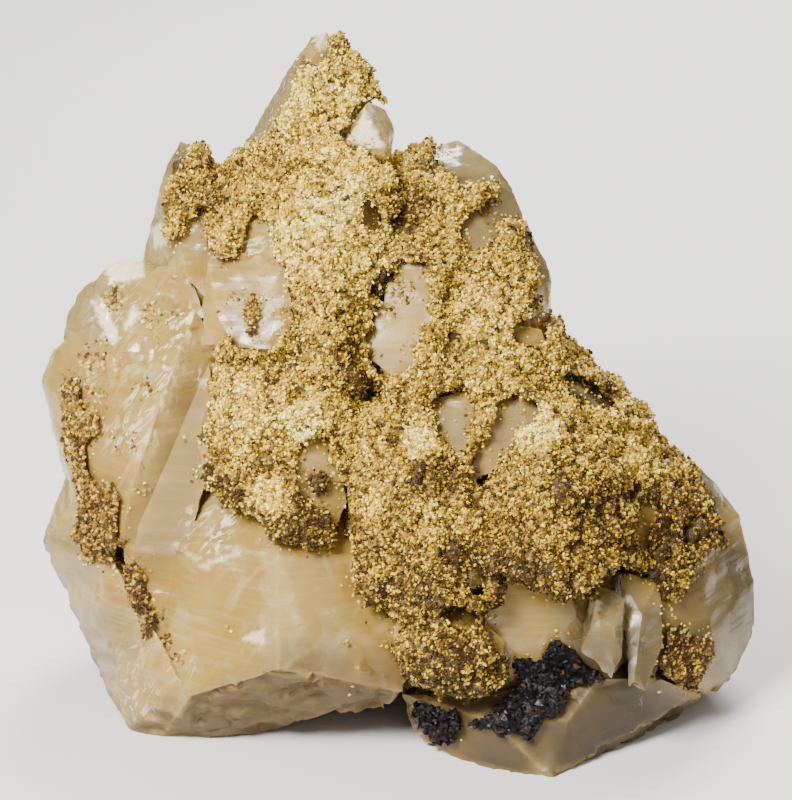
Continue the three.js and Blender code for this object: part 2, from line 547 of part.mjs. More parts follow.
// A lumpy skin over the crystals in on, inside the outline edge and outside the windows
function crustSolid({ on, edge, windows = [], balls = [], thickness, from, to }) {
  const height = (LUMP_HEIGHT * thickness) / CRUST_THICKNESS;
  const skins = on.map((name) => solidOf(lumpy(grown(hulls[name], thickness * unit), height)));
  const skin = joined([...skins, ...balls.map(knobOf)]);
  const openings = windows.map((window) => behindOutline(window, from, to));
  const cut = skin.intersect(behindOutline(edge, from, to)).subtract(joined(openings));
  return largestBody(cut.subtract(quartzSkin).intersect(above(CRUST_CLEARANCE)));
}

// How far a crust reaches forward and back
const FRONT = { from: BACK_REACH, to: OUT_OF_SIGHT };
const BACK = { from: -OUT_OF_SIGHT, to: BACK_REACH - 1 };

// Colours of the real specimen

const QUARTZ = { color: 0xcbbca6, roughness: 0.25, metalness: 0 };
const GOLDEN_CRUST = { color: 0xb58d55, roughness: 0.7, metalness: 0 };
const BROWN_CRUST = { color: 0x3a2a1e, roughness: 0.65, metalness: 0 };

function part(name, solid, look) {
  const { vertProperties, triVerts } = solid.getMesh();
  const geometry = new THREE.BufferGeometry();
  geometry.setAttribute("position", new THREE.BufferAttribute(vertProperties, 3));
  geometry.setIndex(new THREE.BufferAttribute(triVerts, 1));
  geometry.computeVertexNormals();
  const mesh = new THREE.Mesh(geometry, new THREE.MeshStandardMaterial(look));
  mesh.name = name;
  return mesh;
}

const specimen = new THREE.Group();
specimen.name = "guimaraesite";
specimen.add(part("quartz", quartzSolid(), QUARTZ));
specimen.add(part("crust_main", crustSolid({
  ...FRONT,
  on: crusted,
  edge: mainCrustEdge,
  windows: Object.values(mainCrustWindows),
  thickness: CRUST_THICKNESS,
  balls: knobs,
}), GOLDEN_CRUST));
Object.entries(smallCrusts).forEach(([name, crust]) => {
  const look = name.startsWith("crust_dark") ? BROWN_CRUST : GOLDEN_CRUST;
  const solid = crustSolid({ ...FRONT, ...crust, thickness: THIN_CRUST_THICKNESS });
  specimen.add(part(name, solid, look));
});
const backSolid = crustSolid({ ...BACK, ...backCrust, thickness: CRUST_THICKNESS });
specimen.add(part("crust_back", backSolid, GOLDEN_CRUST));
const knobSolid = largestBody(knobOf(looseKnob).subtract(quartzSkin));
specimen.add(part("crust_knob", knobSolid, BROWN_CRUST));

// Centre the cluster's box over the origin
const box = new THREE.Box3().setFromObject(specimen);
const middle = box.getCenter(new THREE.Vector3());
specimen.children.forEach((mesh) => mesh.geometry.translate(-middle.x, -middle.y, 0));

export default specimen;
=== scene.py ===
"""The finished look of a guimaraesite specimen: quartz crystals under a golden granular crust.

Everything is in metres in the part's own frame: +Z up, -Y towards the front, standing on Z = 0.
Places on the specimen are written as the front view shows them, in millimetres: across and up
from the view's middle, and forward of its middle plane.
"""

import logging
import math
from dataclasses import dataclass, field
from enum import Enum

import bmesh
import bpy
import numpy as np
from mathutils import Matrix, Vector, noise
from mathutils.bvhtree import BVHTree
from mathutils.kdtree import KDTree


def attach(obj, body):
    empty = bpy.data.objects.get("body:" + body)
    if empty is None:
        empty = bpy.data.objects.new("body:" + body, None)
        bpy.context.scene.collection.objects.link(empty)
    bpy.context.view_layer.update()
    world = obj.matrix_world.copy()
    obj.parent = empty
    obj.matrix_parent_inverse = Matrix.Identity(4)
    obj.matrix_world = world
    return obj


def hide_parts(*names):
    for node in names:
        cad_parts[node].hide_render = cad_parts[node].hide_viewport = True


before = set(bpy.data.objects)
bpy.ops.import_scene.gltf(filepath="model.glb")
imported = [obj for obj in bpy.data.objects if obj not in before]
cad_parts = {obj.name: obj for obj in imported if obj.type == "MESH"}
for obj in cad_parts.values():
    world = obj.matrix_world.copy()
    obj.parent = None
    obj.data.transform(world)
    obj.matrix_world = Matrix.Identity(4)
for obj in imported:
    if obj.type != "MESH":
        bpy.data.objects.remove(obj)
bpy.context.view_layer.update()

log = logging.getLogger("guimaraesite")
MM = 0.001


def linear(hex_colour: str) -> tuple[float, float, float, float]:
    """Turns an sRGB hex colour into linear RGBA.

    Args:
        hex_colour: six hex digits, such as "c4ae86".

    Returns:
        The linear red, green, blue and an alpha of 1.
    """
    values = [int(hex_colour[i : i + 2], 16) / 255 for i in (0, 2, 4)]
    red, green, blue = (
        v / 12.92 if v <= 0.04045 else ((v + 0.055) / 1.055) ** 2.4 for v in values
    )
    return (red, green, blue, 1.0)


def add_node(
    tree: bpy.types.NodeTree,
    kind: str,
    inputs: dict | None = None,
    **settings: object,
) -> bpy.types.Node:
    """Adds a node with its settings, values and links.

    Args:
        tree: the node tree that the node goes in.
        kind: the node's type, such as "ShaderNodeTexNoise".
        inputs: input name or number to a value, or to the output socket that feeds it.
        settings: the node's own properties.

    Returns:
        The new node.
    """
    node = tree.nodes.new(kind)
    for name, value in settings.items():
        setattr(node, name, value)
    for key, value in (inputs or {}).items():
        if isinstance(value, bpy.types.NodeSocket):
            tree.links.new(value, node.inputs[key])
        else:
            node.inputs[key].default_value = value
    return node


def set_ramp(ramp: bpy.types.ColorRamp, stops: dict[float, tuple]) -> None:
    """Gives a colour ramp its stops.

    Args:
        ramp: the ramp of a Color Ramp node.
        stops: position to RGBA colour, in rising order.
    """
    while len(ramp.elements) < len(stops):
        ramp.elements.new(0.5)
    for element, (position, colour) in zip(ramp.elements, sorted(stops.items())):
        element.position = position
        element.color = colour


def add_object(name: str, data: bpy.types.ID) -> bpy.types.Object:
    """Puts a new object with the given data into the scene.

    Args:
        name: the object's name.
        data: its mesh, lamp or camera.

    Returns:
        The new object.
    """
    thing = bpy.data.objects.new(name, data)
    bpy.context.scene.collection.objects.link(thing)
    return thing


@dataclass(frozen=True)
class FrontView:
    """The photograph's view: how it shows the specimen, and its camera."""

    distance_mm: float = 500.0  # from the eye to the middle plane
    tilt_deg: float = 20.0  # how far it looks down
    middle_mm: tuple[float, float, float] = (0.1, -2.33, 42.2)
    frame_height_mm: float = 112.3  # what the picture's height spans in the middle plane
    aim_mm: tuple[float, float] = (-0.28, 0.28)  # the picture's centre, across and up
    sensor_mm: float = 36.0
    clip_mm: float = 10.0  # nothing nearer to the eye than this is drawn

    @property
    def right(self) -> Vector:
        """The view's direction across."""
        return Vector((1, 0, 0))

    @property
    def up(self) -> Vector:
        """The view's direction up."""
        tilt = math.radians(self.tilt_deg)
        return Vector((0, math.sin(tilt), math.cos(tilt)))

    @property
    def forward(self) -> Vector:
        """The direction from the specimen to the eye."""
        return self.right.cross(self.up)

    def point(self, across: float, up: float, forward: float) -> Vector:
        """Gives the place, in metres, of a point that the view shows.

        Args:
            across: millimetres right of the view's middle.
            up: millimetres above it.
            forward: millimetres in front of the middle plane.

        Returns:
            The point in the part's frame.
        """
        nearer = 1 - forward / self.distance_mm
        place = self.right * (across * nearer) + self.up * (up * nearer)
        return (place + self.forward * forward + Vector(self.middle_mm)) * MM

    def seen(self, points: np.ndarray) -> np.ndarray:
        """Gives across, up and forward, in millimetres, of points in the part's frame.

        Args:
            points: one row of x, y, z in metres for each point.

        Returns:
            One row of across, up and forward for each point.
        """
        local = points / MM - np.array(self.middle_mm)
        axes = np.array([self.right, self.up, self.forward])
        turned = local @ axes.T
        nearer = 1 - turned[:, 2] / self.distance_mm
        turned[:, :2] /= nearer[:, None]
        return turned

    def add_camera(self) -> None:
        """Makes the camera at the photograph's angle and makes it the scene's camera."""
        data = bpy.data.cameras.new("camera")
        data.sensor_width = self.sensor_mm
        data.lens = self.sensor_mm * self.distance_mm / self.frame_height_mm
        data.clip_start = self.clip_mm * MM
        camera = add_object("camera", data)
        camera.location = (self.forward * self.distance_mm + Vector(self.middle_mm)) * MM
        look = self.point(*self.aim_mm, 0) - camera.location
        camera.rotation_euler = look.to_track_quat("-Z", "Y").to_euler()
        bpy.context.scene.camera = camera


VIEW = FrontView()


@dataclass(frozen=True)
class Facet:
    """A flat-sided zone of the surface, as the front view shows it."""

    corners: tuple[tuple[float, float], ...]
    amount: float = 1.0

    def weight(self, seen: np.ndarray) -> np.ndarray:
        """Gives each point inside the corners the facet's amount, and the rest 0.

        Args:
            seen: across, up and forward of each point, as the front view shows it.

        Returns:
            One weight for each point.
        """
        inside = np.zeros(len(seen), bool)
        ends = self.corners[1:] + self.corners[:1]
        for (u0, v0), (u1, v1) in zip(self.corners, ends):
            between = (seen[:, 1] >= v0) != (seen[:, 1] >= v1)
            crossing = u0 + (seen[:, 1] - v0) / ((v1 - v0) or 1e-9) * (u1 - u0)
            inside ^= between & (seen[:, 0] < crossing)
        return self.amount * inside


@dataclass(frozen=True)
class Spot:
    """A round zone of the surface, as the front view shows it."""

    across: float
    up: float
    reach: float
    amount: float = 1.0

    def weight(self, seen: np.ndarray) -> np.ndarray:
        """Gives how far inside the spot each point is, from 0 to its amount.

        Args:
            seen: across, up and forward of each point, as the front view shows it.

        Returns:
            One weight for each point.
        """
        gap = np.hypot(seen[:, 0] - self.across, seen[:, 1] - self.up)
        inside = np.clip(1.6 - 1.6 * gap / self.reach, 0, 1)
        return self.amount * inside * inside * (3 - 2 * inside)


def strongest(zones: tuple[Spot | Facet, ...], seen: np.ndarray) -> np.ndarray:
    """Gives each point the largest weight that any spot or facet has there.

    Args:
        zones: the spots or facets.
        seen: across, up and forward of each point, as the front view shows it.

    Returns:
        One weight for each point.
    """
    weights = np.zeros(len(seen))
    for zone in zones:
        weights = np.maximum(weights, zone.weight(seen))
    return weights


def spots(*rows: tuple[float, ...]) -> tuple[Spot, ...]:
    """Makes spots from rows of across, up, reach and, where it isn't 1, the amount."""
    return tuple(Spot(*row) for row in rows)


def at_back(seen: np.ndarray) -> np.ndarray:
    """Gives each point 0 up to 9 mm behind the middle plane, rising to 1 at 13 mm."""
    return np.clip((-9 - seen[:, 2]) / 4, 0, 1)


def rows_of(parts: bpy.types.bpy_prop_collection, key: str) -> np.ndarray:
    """Gives a property of three numbers of each of a mesh's parts, one row each.

    Args:
        parts: the mesh's vertices, normals or faces.
        key: the property's name.

    Returns:
        One row for each part.
    """
    flat = np.zeros(len(parts) * 3)
    parts.foreach_get(key, flat)
    return flat.reshape(-1, 3)


def measured(mesh: bpy.types.Mesh) -> tuple[np.ndarray, np.ndarray, np.ndarray]:
    """Gives a mesh's vertices, their normals and their places on the front view."""
    points = rows_of(mesh.vertices, "co")
    return points, rows_of(mesh.vertex_normals, "vector"), VIEW.seen(points)


def move_vertices(mesh: bpy.types.Mesh, points: np.ndarray) -> None:
    """Puts a mesh's vertices at new places."""
    mesh.vertices.foreach_set("co", points.ravel())
    mesh.update()


def store(mesh: bpy.types.Mesh, name: str, values: np.ndarray) -> None:
    """Stores one number for each vertex under a name that materials and trees read."""
    attribute = mesh.attributes.new(name, "FLOAT", "POINT")
    attribute.data.foreach_set("value", values.astype(np.float32))


def noise_at(points: np.ndarray, span_mm: float, seed: float, octaves: int = 2) -> np.ndarray:
    """Gives smooth noise, about -1 to 1, at each point.

    Args:
        points: one row of x, y, z in metres for each point.
        span_mm: the size of the noise's largest lumps.
        seed: moves the noise, for another pattern of the same kind.
        octaves: how many finer layers it has, each half the size of the last.

    Returns:
        One value for each point.
    """
    scaled = points / (span_mm * MM) + seed
    return np.array([noise.fractal(Vector(p), 0.9, 2.0, octaves) for p in scaled])


def cells_at(points: np.ndarray, span_mm: float, seed: float) -> np.ndarray:
    """Gives rounded lumps with creases between them: 0 at a lump's middle, 1 in a crease.

    Args:
        points: one row of x, y, z in metres for each point.
        span_mm: the size of a lump.
        seed: moves the lumps, for another pattern of the same kind.

    Returns:
        One value for each point.
    """
    scaled = points / (span_mm * MM) + seed
    values = np.empty(len(scaled))
    for i, p in enumerate(scaled):
        distances, _ = noise.voronoi(Vector(p))
        values[i] = distances[0] / max(distances[1], 1e-6)
    return values


def facets_at(points: np.ndarray, span_mm: float, seed: float) -> np.ndarray:
    """Gives a mosaic of small tilted facets, each flat, with a step to the next.

    Args:
        points: one row of x, y, z in metres for each point.
        span_mm: the size of a facet.
        seed: moves the facets, for another pattern of the same kind.

    Returns:
        The height at each point, as a share of a facet's size times its tilt.
    """
    scaled = points / (span_mm * MM) + seed
    heights = np.empty(len(scaled))
    for i, p in enumerate(scaled):
        _, centres = noise.voronoi(Vector(p))
        tilt = noise.cell_vector(centres[0] * 7.3)
        heights[i] = (tilt * 2 - Vector((1, 1, 1))).dot(Vector(p) - centres[0])
    return heights


def merged_copy(node: str, name: str) -> bpy.types.Object:
    """Copies a solid's mesh with its doubled vertices merged.

    Args:
        node: the solid's name in the frame.
        name: the new object's name.

    Returns:
        The new object, at the origin.
    """
    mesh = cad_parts[node].data.copy()
    mesh.materials.clear()
    shape = bmesh.new()
    shape.from_mesh(mesh)
    bmesh.ops.remove_doubles(shape, verts=shape.verts, dist=0.002 * MM)
    bmesh.ops.dissolve_degenerate(shape, edges=shape.edges, dist=0.002 * MM)
    bmesh.ops.triangulate(shape, faces=shape.faces)
    shape.to_mesh(mesh)
    shape.free()
    mesh.name = name
    for attribute in [a.name for a in mesh.attributes if a.name.startswith("UV")]:
        mesh.attributes.remove(mesh.attributes[attribute])
    return add_object(name, mesh)


def sharp_places(mesh: bpy.types.Mesh, least_deg: float, step_mm: float) -> KDTree:
    """Gives places all along the outward edges that are sharper than an angle.

    Args:
        mesh: the mesh before its edges are split.
        least_deg: the smallest angle between the two faces of such an edge.
        step_mm: from one place to the next.

    Returns:
        The places, ready to search.
    """
    shape = bmesh.new()
    shape.from_mesh(mesh)
    places = []
    for edge in shape.edges:
        if edge.calc_face_angle_signed(0) > math.radians(least_deg):
            start, end = (vertex.co for vertex in edge.verts)
            count = max(1, math.ceil((end - start).length / (step_mm * MM)))
            places += [start.lerp(end, i / count) for i in range(count + 1)]
    shape.free()
    tree = KDTree(len(places))
    for index, place in enumerate(places):
        tree.insert(place, index)
    tree.balance()
    return tree


def applied(thing: bpy.types.Object) -> None:
    """Turns an object's modifiers into its plain mesh and removes them.

    Args:
        thing: the object.
    """
    graph = bpy.context.evaluated_depsgraph_get()
    mesh = bpy.data.meshes.new_from_object(thing.evaluated_get(graph))
    thing.modifiers.clear()
    old = thing.data
    thing.data = mesh
    bpy.data.meshes.remove(old)
    mesh.name = thing.name


def new_material(name: str) -> tuple[bpy.types.Material, bpy.types.NodeTree]:
    """Makes an empty node material.

    Args:
        name: the material's name.

    Returns:
        The material and its node tree.
    """
    material = bpy.data.materials.new(name)
    material.use_nodes = True
    material.node_tree.nodes.clear()
    return material, material.node_tree


def surface_of(pieces: list[bpy.types.Object]) -> BVHTree:
    """Gives one searchable surface of several pieces.

    Args:
        pieces: the pieces, each at the origin.

    Returns:
        Their faces together, ready to search.
    """
    points: list[Vector] = []
    faces: list[tuple[int, ...]] = []
    for piece in pieces:
        first = len(points)
        points += [vertex.co.copy() for vertex in piece.data.vertices]
        faces += [tuple(first + i for i in face.vertices) for face in piece.data.polygons]
    return BVHTree.FromPolygons(points, faces)


@dataclass(frozen=True)
class QuartzFinish:
    """Quartz, IOR 1.544: glassy on its crystal faces, milky with tiny bubbles inside.

    The eye gets a warm tan body that light sinks into, clear tips and edges, fine growth
    lines across the prism faces, and white frost where a face is bruised or cracked.
    Painted highlights whiten the faces that glint and partly lighten the edges, and painted
    shade darkens the underside, the foot and the valley face.
    """

    milky: str = "9e8038"
    milky_pale: str = "ae924a"
    wisp: str = "e2d2a4"
    clear: str = "d0ba7c"
    # painted shade: the dark brown of the foot and the valley face
    painted_shade: str = "3c3016"
    # white of frosted cracks, and of painted highlights on faces that glint
    frost_and_glint: str = "f4e8c0"
    stain: str = "8a6426"
    # painted shade on faces turned down under the crystals and on shaded breaks
    painted_underside_shade: str = "4e3a18"
    absorbed: str = "d2b988"
    absorption: float = 40.0  # per metre
    ior: float = 1.544
    cloud_mm: float = 11.0  # the size of a milky cloud
    wisp_mm: float = 4.0  # the width of a white wisp inside
    growth_line_mm: float = 0.6  # from one growth line to the next
    streak_mm: float = 0.8  # the width of a crack's white streak
    chatter_mm: float = 2.4  # the size of the shallow unevenness all over
    glow_mm: float = 2.2  # how far light spreads in the milky body
    wisp_share: float = 0.4  # how white a wisp gets
    line_share: float = 0.14  # how white a growth line gets
    let_through: tuple[float, float] = (0.12, 0.8)  # share of light, where milky and clear
    # also what is left where a painted highlight whitens a face
    bruise_and_glint_share: float = 0.2  # how much of that is left in a bruise
    gloss: tuple[float, float] = (0.08, 0.3)  # roughness of a clean face, from thin cloud to thick
    worn: float = 0.6  # what edges, breaks and dull faces add to the roughness

    def _noise(
        self,
        tree: bpy.types.NodeTree,
        span_mm: float,
        stretch: tuple[float, float, float] = (1.0, 1.0, 1.0),
        turn_deg: tuple[float, float, float] = (0.0, 0.0, 0.0),
        **inputs: float,
    ) -> bpy.types.NodeSocket:
        """Adds noise of a real size to the material.

        Args:
            tree: the material's tree.
            span_mm: the size of its lumps.
            stretch: how many times finer it is along each axis.
            turn_deg: how the pattern is turned first.
            inputs: more of the noise's inputs.

        Returns:
            The noise, 0 to 1.
        """
        place = add_node(tree, "ShaderNodeTexCoord").outputs["Object"]
        turn = tuple(math.radians(angle) for angle in turn_deg)
        for change in ({"Rotation": turn}, {"Scale": stretch}):
            mapping = add_node(tree, "ShaderNodeMapping", {"Vector": place, **change})
            place = mapping.outputs["Vector"]
        values = {"Vector": place, "Scale": 1 / (span_mm * MM), **inputs}
        return add_node(tree, "ShaderNodeTexNoise", values).outputs["Fac"]

    def build(self) -> bpy.types.Material:
        """Makes the material.

        Returns:
            The material.
        """
        material, tree = new_material("quartz_milky_to_clear")
        masks = {
            name: add_node(tree, "ShaderNodeAttribute", attribute_name=name).outputs["Fac"]
            for name in (
                "clarity", "frost_and_glint", "painted_glint", "stain", "painted_underside_shade", "painted_shade", "edge", "dull"
            )
        }
        clouds = self._noise(tree, self.cloud_mm, Detail=4.0, Roughness=0.6)
        veils = self._noise(
            tree, self.wisp_mm, (1.0, 1.0, 0.35), (0.0, -20.0, 15.0), Detail=5.0, Distortion=1.2
        )
        growth = self._noise(tree, self.growth_line_mm, (0.06, 0.06, 1.0), Detail=3.0)
        streaks = self._noise(
            tree, self.streak_mm, (1.0, 1.0, 0.3), (0.0, -34.0, 0.0), Detail=4.0, Distortion=0.7
        )
        chatter = self._noise(tree, self.chatter_mm, Detail=4.0, Distortion=0.9)
        # the frost colour marks real cracks and also painted highlights on faces that glint
        wisps, lined, bruise_and_glint = (
            add_node(
                tree,
                "ShaderNodeMapRange",
                {"Value": value, "From Min": start, "From Max": end, "To Max": most},
            ).outputs["Result"]
            for value, start, end, most in (
                (veils, 0.54, 0.8, self.wisp_share),
                (growth, 0.5, 0.75, self.line_share),
                (streaks, 0.53, 0.59, 1.0),
            )
        )
        for mask, operation in (("frost_and_glint", "MULTIPLY"), ("painted_glint", "MAXIMUM")):
            bruise_and_glint = add_node(
                tree, "ShaderNodeMath", {0: bruise_and_glint, 1: masks[mask]}, operation=operation
            ).outputs[0]
        worn = masks["edge"]
        for mask in ("painted_underside_shade", "dull"):
            worn = add_node(
                tree, "ShaderNodeMath", {0: worn, 1: masks[mask]}, operation="MAXIMUM"
            ).outputs[0]
        body = add_node(tree, "ShaderNodeValToRGB", {"Fac": clouds})
        set_ramp(body.color_ramp, {0.36: linear(self.milky), 0.66: linear(self.milky_pale)})
        colour = body.outputs["Color"]
        for amount, layer in (
            (wisps, self.wisp),
            (lined, self.wisp),
            (masks["clarity"], self.clear),
            # painted shade under the crystals
            (masks["painted_underside_shade"], self.painted_underside_shade),
            # painted shade on the foot and the valley face
            (masks["painted_shade"], self.painted_shade),
            (masks["stain"], self.stain),
            # edges lighter: partly worn, partly a painted highlight along them
            (masks["edge"], self.milky_pale),
            (bruise_and_glint, self.frost_and_glint),
        ):
            colour = add_node(
                tree, "ShaderNodeMix", {0: amount, 6: colour, 7: linear(layer)}, data_type="RGBA"
            ).outputs[2]
        through, clear_of_bruise_and_glint, glassy = (
            add_node(
                tree, "ShaderNodeMapRange", {"Value": value, "To Min": start, "To Max": end}
            ).outputs["Result"]
            for value, (start, end) in (
                (masks["clarity"], self.let_through),
                (bruise_and_glint, (1.0, self.bruise_and_glint_share)),
                (clouds, self.gloss),
            )
        )
        transmission = add_node(
            tree, "ShaderNodeMath", {0: through, 1: clear_of_bruise_and_glint}, operation="MULTIPLY"
        ).outputs[0]
        roughness = add_node(
            tree, "ShaderNodeMath", {0: worn, 1: self.worn, 2: glassy}, operation="MULTIPLY_ADD"
        ).outputs[0]
        relief = {}
        for height, strength, depth_mm in (
            (growth, 0.45, 0.16), (bruise_and_glint, 0.3, 0.15), (chatter, 0.12, 0.2)
        ):
            inputs = {"Height": height, "Strength": strength, "Distance": depth_mm * MM, **relief}
            relief = {"Normal": add_node(tree, "ShaderNodeBump", inputs).outputs["Normal"]}
        shader = add_node(
            tree,
            "ShaderNodeBsdfPrincipled",
            {
                "Base Color": colour,
                "Roughness": roughness,
                "IOR": self.ior,
                "Transmission Weight": transmission,
                "Subsurface Weight": 0.7,
                "Subsurface Radius": (1.0, 0.7, 0.4),
                "Subsurface Scale": self.glow_mm * MM,
                **relief,
            },
        )
        inside = add_node(
            tree,
            "ShaderNodeVolumeAbsorption",
            {"Color": linear(self.absorbed), "Density": self.absorption},
        )
        add_node(
            tree,
            "ShaderNodeOutputMaterial",
            {"Surface": shader.outputs["BSDF"], "Volume": inside.outputs["Volume"]},
        )
        return material


@dataclass(frozen=True)
class CrustFinish:
    """Guimaraesite crust: dense rosettes of tiny blades, each grain with small shiny faces.

    The eye gets a sparkle of pale tips over golden grains, with brown gaps between them;
    painted shade darkens the gaps, the undersides and the holes.
    """

    name: str
    pit: str
    low: str
    body: str
    pale: str
    tip: str
    shaded: str
    roughness: float = 0.4
    blade_mm: float = 0.3
    speck_mm: float = 0.45  # the size of a speck of its own tone
    patch_mm: float = 6.0  # the size of a paler or darker patch

    def build(self) -> bpy.types.Material:
        """Makes the material.

        Returns:
            The material.
        """
        material, tree = new_material(self.name)
        place = add_node(tree, "ShaderNodeTexCoord").outputs["Object"]
        tone, shade, tint_and_painted_light = (
            add_node(tree, "ShaderNodeAttribute", attribute_name=name).outputs["Fac"]
            for name in ("tone", "shade", "tint_and_painted_light")
        )
        patches = add_node(
            tree,
            "ShaderNodeTexNoise",
            {"Vector": place, "Scale": 1 / (self.patch_mm * MM), "Detail": 4.0, "Roughness": 0.65},
        ).outputs["Fac"]
        specks, blades = (
            add_node(tree, "ShaderNodeTexVoronoi", {"Vector": place, "Scale": 1 / (span * MM)})
            for span in (self.speck_mm, self.blade_mm)
        )
        value = -0.53  # the ramp's place where all of these are 0
        for part, share in ((specks.outputs["Color"], 0.5), (patches, 0.7), (tone, 0.8), (tint_and_painted_light, 0.4)):
            value = add_node(
                tree, "ShaderNodeMath", {0: part, 1: share, 2: value}, operation="MULTIPLY_ADD"
            ).outputs[0]
        ramp = add_node(tree, "ShaderNodeValToRGB", {"Fac": value})
        stops = (self.pit, self.low, self.body, self.pale, self.tip)
        places = (0.0, 0.18, 0.45, 0.74, 0.98)
        set_ramp(ramp.color_ramp, {at: linear(stop) for at, stop in zip(places, stops)})
        # painted shade: the colour turns to the shaded one where the shade is above the tone
        deeper = add_node(
            tree, "ShaderNodeMath", {0: shade, 1: tone}, operation="SUBTRACT"
        ).outputs[0]
        dark = add_node(
            tree, "ShaderNodeMapRange", {"Value": deeper, "From Min": -0.42, "From Max": 0.36}
        ).outputs["Result"]
        dimmed = add_node(
            tree,
            "ShaderNodeMix",
            {0: dark, 6: ramp.outputs["Color"], 7: linear(self.shaded)},
            data_type="RGBA",
        ).outputs[2]
        relief = add_node(
            tree,
            "ShaderNodeBump",
            {"Height": blades.outputs["Distance"], "Strength": 0.7, "Distance": 0.15 * MM},
        ).outputs["Normal"]
        roughness = add_node(
            tree,
            "ShaderNodeMapRange",
            {"Value": tone, "To Min": self.roughness + 0.25, "To Max": self.roughness - 0.12},
        ).outputs["Result"]
        shader = add_node(
            tree,
            "ShaderNodeBsdfPrincipled",
            {
                "Base Color": dimmed,
                "Roughness": roughness,
                "IOR": 1.6,
                "Specular IOR Level": 0.2,
                "Normal": relief,
            },
        )
        add_node(tree, "ShaderNodeOutputMaterial", {"Surface": shader.outputs["BSDF"]})
        return material


@dataclass(frozen=True)
class PaperFinish:
    """Matt pale studio paper, smooth and without gloss."""

    colour: str = "e9e7e3"

    def build(self) -> bpy.types.Material:
        """Makes the material.

        Returns:
            The material.
        """
        material, tree = new_material("studio_paper")
        shader = add_node(
            tree, "ShaderNodeBsdfPrincipled", {"Base Color": linear(self.colour), "Roughness": 0.9}
        )
        add_node(tree, "ShaderNodeOutputMaterial", {"Surface": shader.outputs["BSDF"]})
        return material


class Coat(Enum):
    """Which kind of crust a solid carries: its material slot in the record, and its finish."""

    GOLDEN = (
        "golden_crust",
        CrustFinish(
            "guimaraesite_golden", "4a3208", "94701a", "c4a02c", "e4c84a", "fff29a", "3c2a0c"
        ),
    )
    BROWN = (
        "golden_crust",
        CrustFinish(
            "guimaraesite_brown", "3a260a", "7c5614", "a48432", "c8a844", "f4e08c", "3e2a0e"
        ),
    )
    # dark brown crust, darkened near to black as painted shade under the overhang
    DARK = (
        "dark_crust",
        CrustFinish(
            "guimaraesite_dark_brown_and_shade",
            "020101", "050403", "0b0806", "1a120b", "4c3a26", "010100", 0.42, 0.45,
        ),
    )

    @property
    def slot(self) -> str:
        """The record's material slot."""
        return self.value[0]

    @property
    def finish(self) -> CrustFinish:
        """The finish that its pieces get."""
        return self.value[1]


# Clear quartz. This and all the zones below are places on the front view
CLEAR_SPOTS = spots(
    (-16.1, 43.8, 7, 0.6), (-19.4, 38.4, 5, 0.6), (-11.2, 51.4, 3, 0.6), (-3.9, 38.5, 5),
    (-33, 25, 7, 0.7), (-31.3, 34, 4, 0.8), (-25.7, 23, 5, 0.5), (10.1, 33.3, 8, 0.8),
    (14.3, 28.4, 8, 0.7), (10.1, 25.3, 6, 0.8), (19.2, 18.5, 5, 0.8), (26.9, 3.1, 7),
    (44.5, -25, 10), (45.9, -33.4, 9), (42.4, -11, 8), (29, -30.6, 9, 0.8), (34, -33.4, 9, 0.7),
    (-43.2, 12.9, 7, 0.6), (-46, -22.2, 7, 0.7), (-41.8, -33.4, 7, 0.6), (7, -3, 5, 0.5),
    (16, -3, 6, 0.6),
)
# White streaks in cracks and bruises, and painted highlights where faces glint
FROST_AND_GLINT_SPOTS = spots(
    (-38.3, 18.8, 3.6, 0.8), (-40.2, 12.0, 4.6, 0.9), (-37.4, 12.6, 3.4, 0.8),
    (-16.8, 12.2, 5, 0.6), (-11.2, 51.8, 2.2), (-30.6, 35.4, 2.2), (5.9, 35.4, 2.4, 0.6),
    (-28, -17.4, 4, 0.5), (-26, -19.2, 3, 0.6), (27.7, -29.2, 3, 0.7), (-33, 6, 5, 0.45),
    (-35, 1, 5, 0.45), (-38, -5, 5, 0.4), (-30, 11, 4, 0.5), (-27.2, 3.6, 2.2, 0.6),
    (-38.5, -36, 5, 0.3), (-36, -42, 4, 0.5), (-17.2, 26, 3, 0.5), (-43.4, 3, 2, 0.6),
    (-20.5, 22, 3, 0.5), (-24, -16.5, 3, 0.4), (-30.4, -37, 3, 0.4),
)
# Painted highlights: small faces painted white all over where they glint
PAINTED_GLINT_FACETS = (
    Facet(((-4.5, 41.3), (-1.8, 35.4), (-7.3, 36.4))),
    Facet(((-41.8, 19.7), (-36.2, 20.2), (-35.4, 17.7), (-40.2, 16.6)), 0.9),
    Facet(((-43.2, 14.3), (-41.6, 14.5), (-39.0, 8.9), (-40.4, 7.8)), 0.9),
    Facet(((-39.0, 8.9), (-40.4, 7.8), (-36.0, 12.4), (-37.2, 13.6)), 0.9),
    Facet(((0.3, 20.8), (4.4, 19.9), (4.0, 18.8), (0.2, 19.3)), 0.9),
    Facet(((-12.1, 52.2), (-10.1, 52.2), (-9.5, 49.7), (-11.2, 49.1)), 0.7),
    Facet(((-34.6, 24.6), (-33.2, 25.2), (-32.4, 22.0), (-34.2, 21.7)), 0.8),
    Facet(((-22.1, -33.3), (-18.2, -31.4), (-19.0, -33.9)), 0.6),
    Facet(((-31.8, -20.2), (-27.4, -22.6), (-27.6, -21.8), (-31.4, -19.6)), 0.4),
    Facet(((-27.6, -22.7), (-22.2, -20.6), (-22.4, -21.5), (-27.4, -23.5)), 0.4),
    Facet(((27.0, -27.4), (28.6, -28.0), (28.0, -30.0), (26.6, -29.6)), 0.8),
)
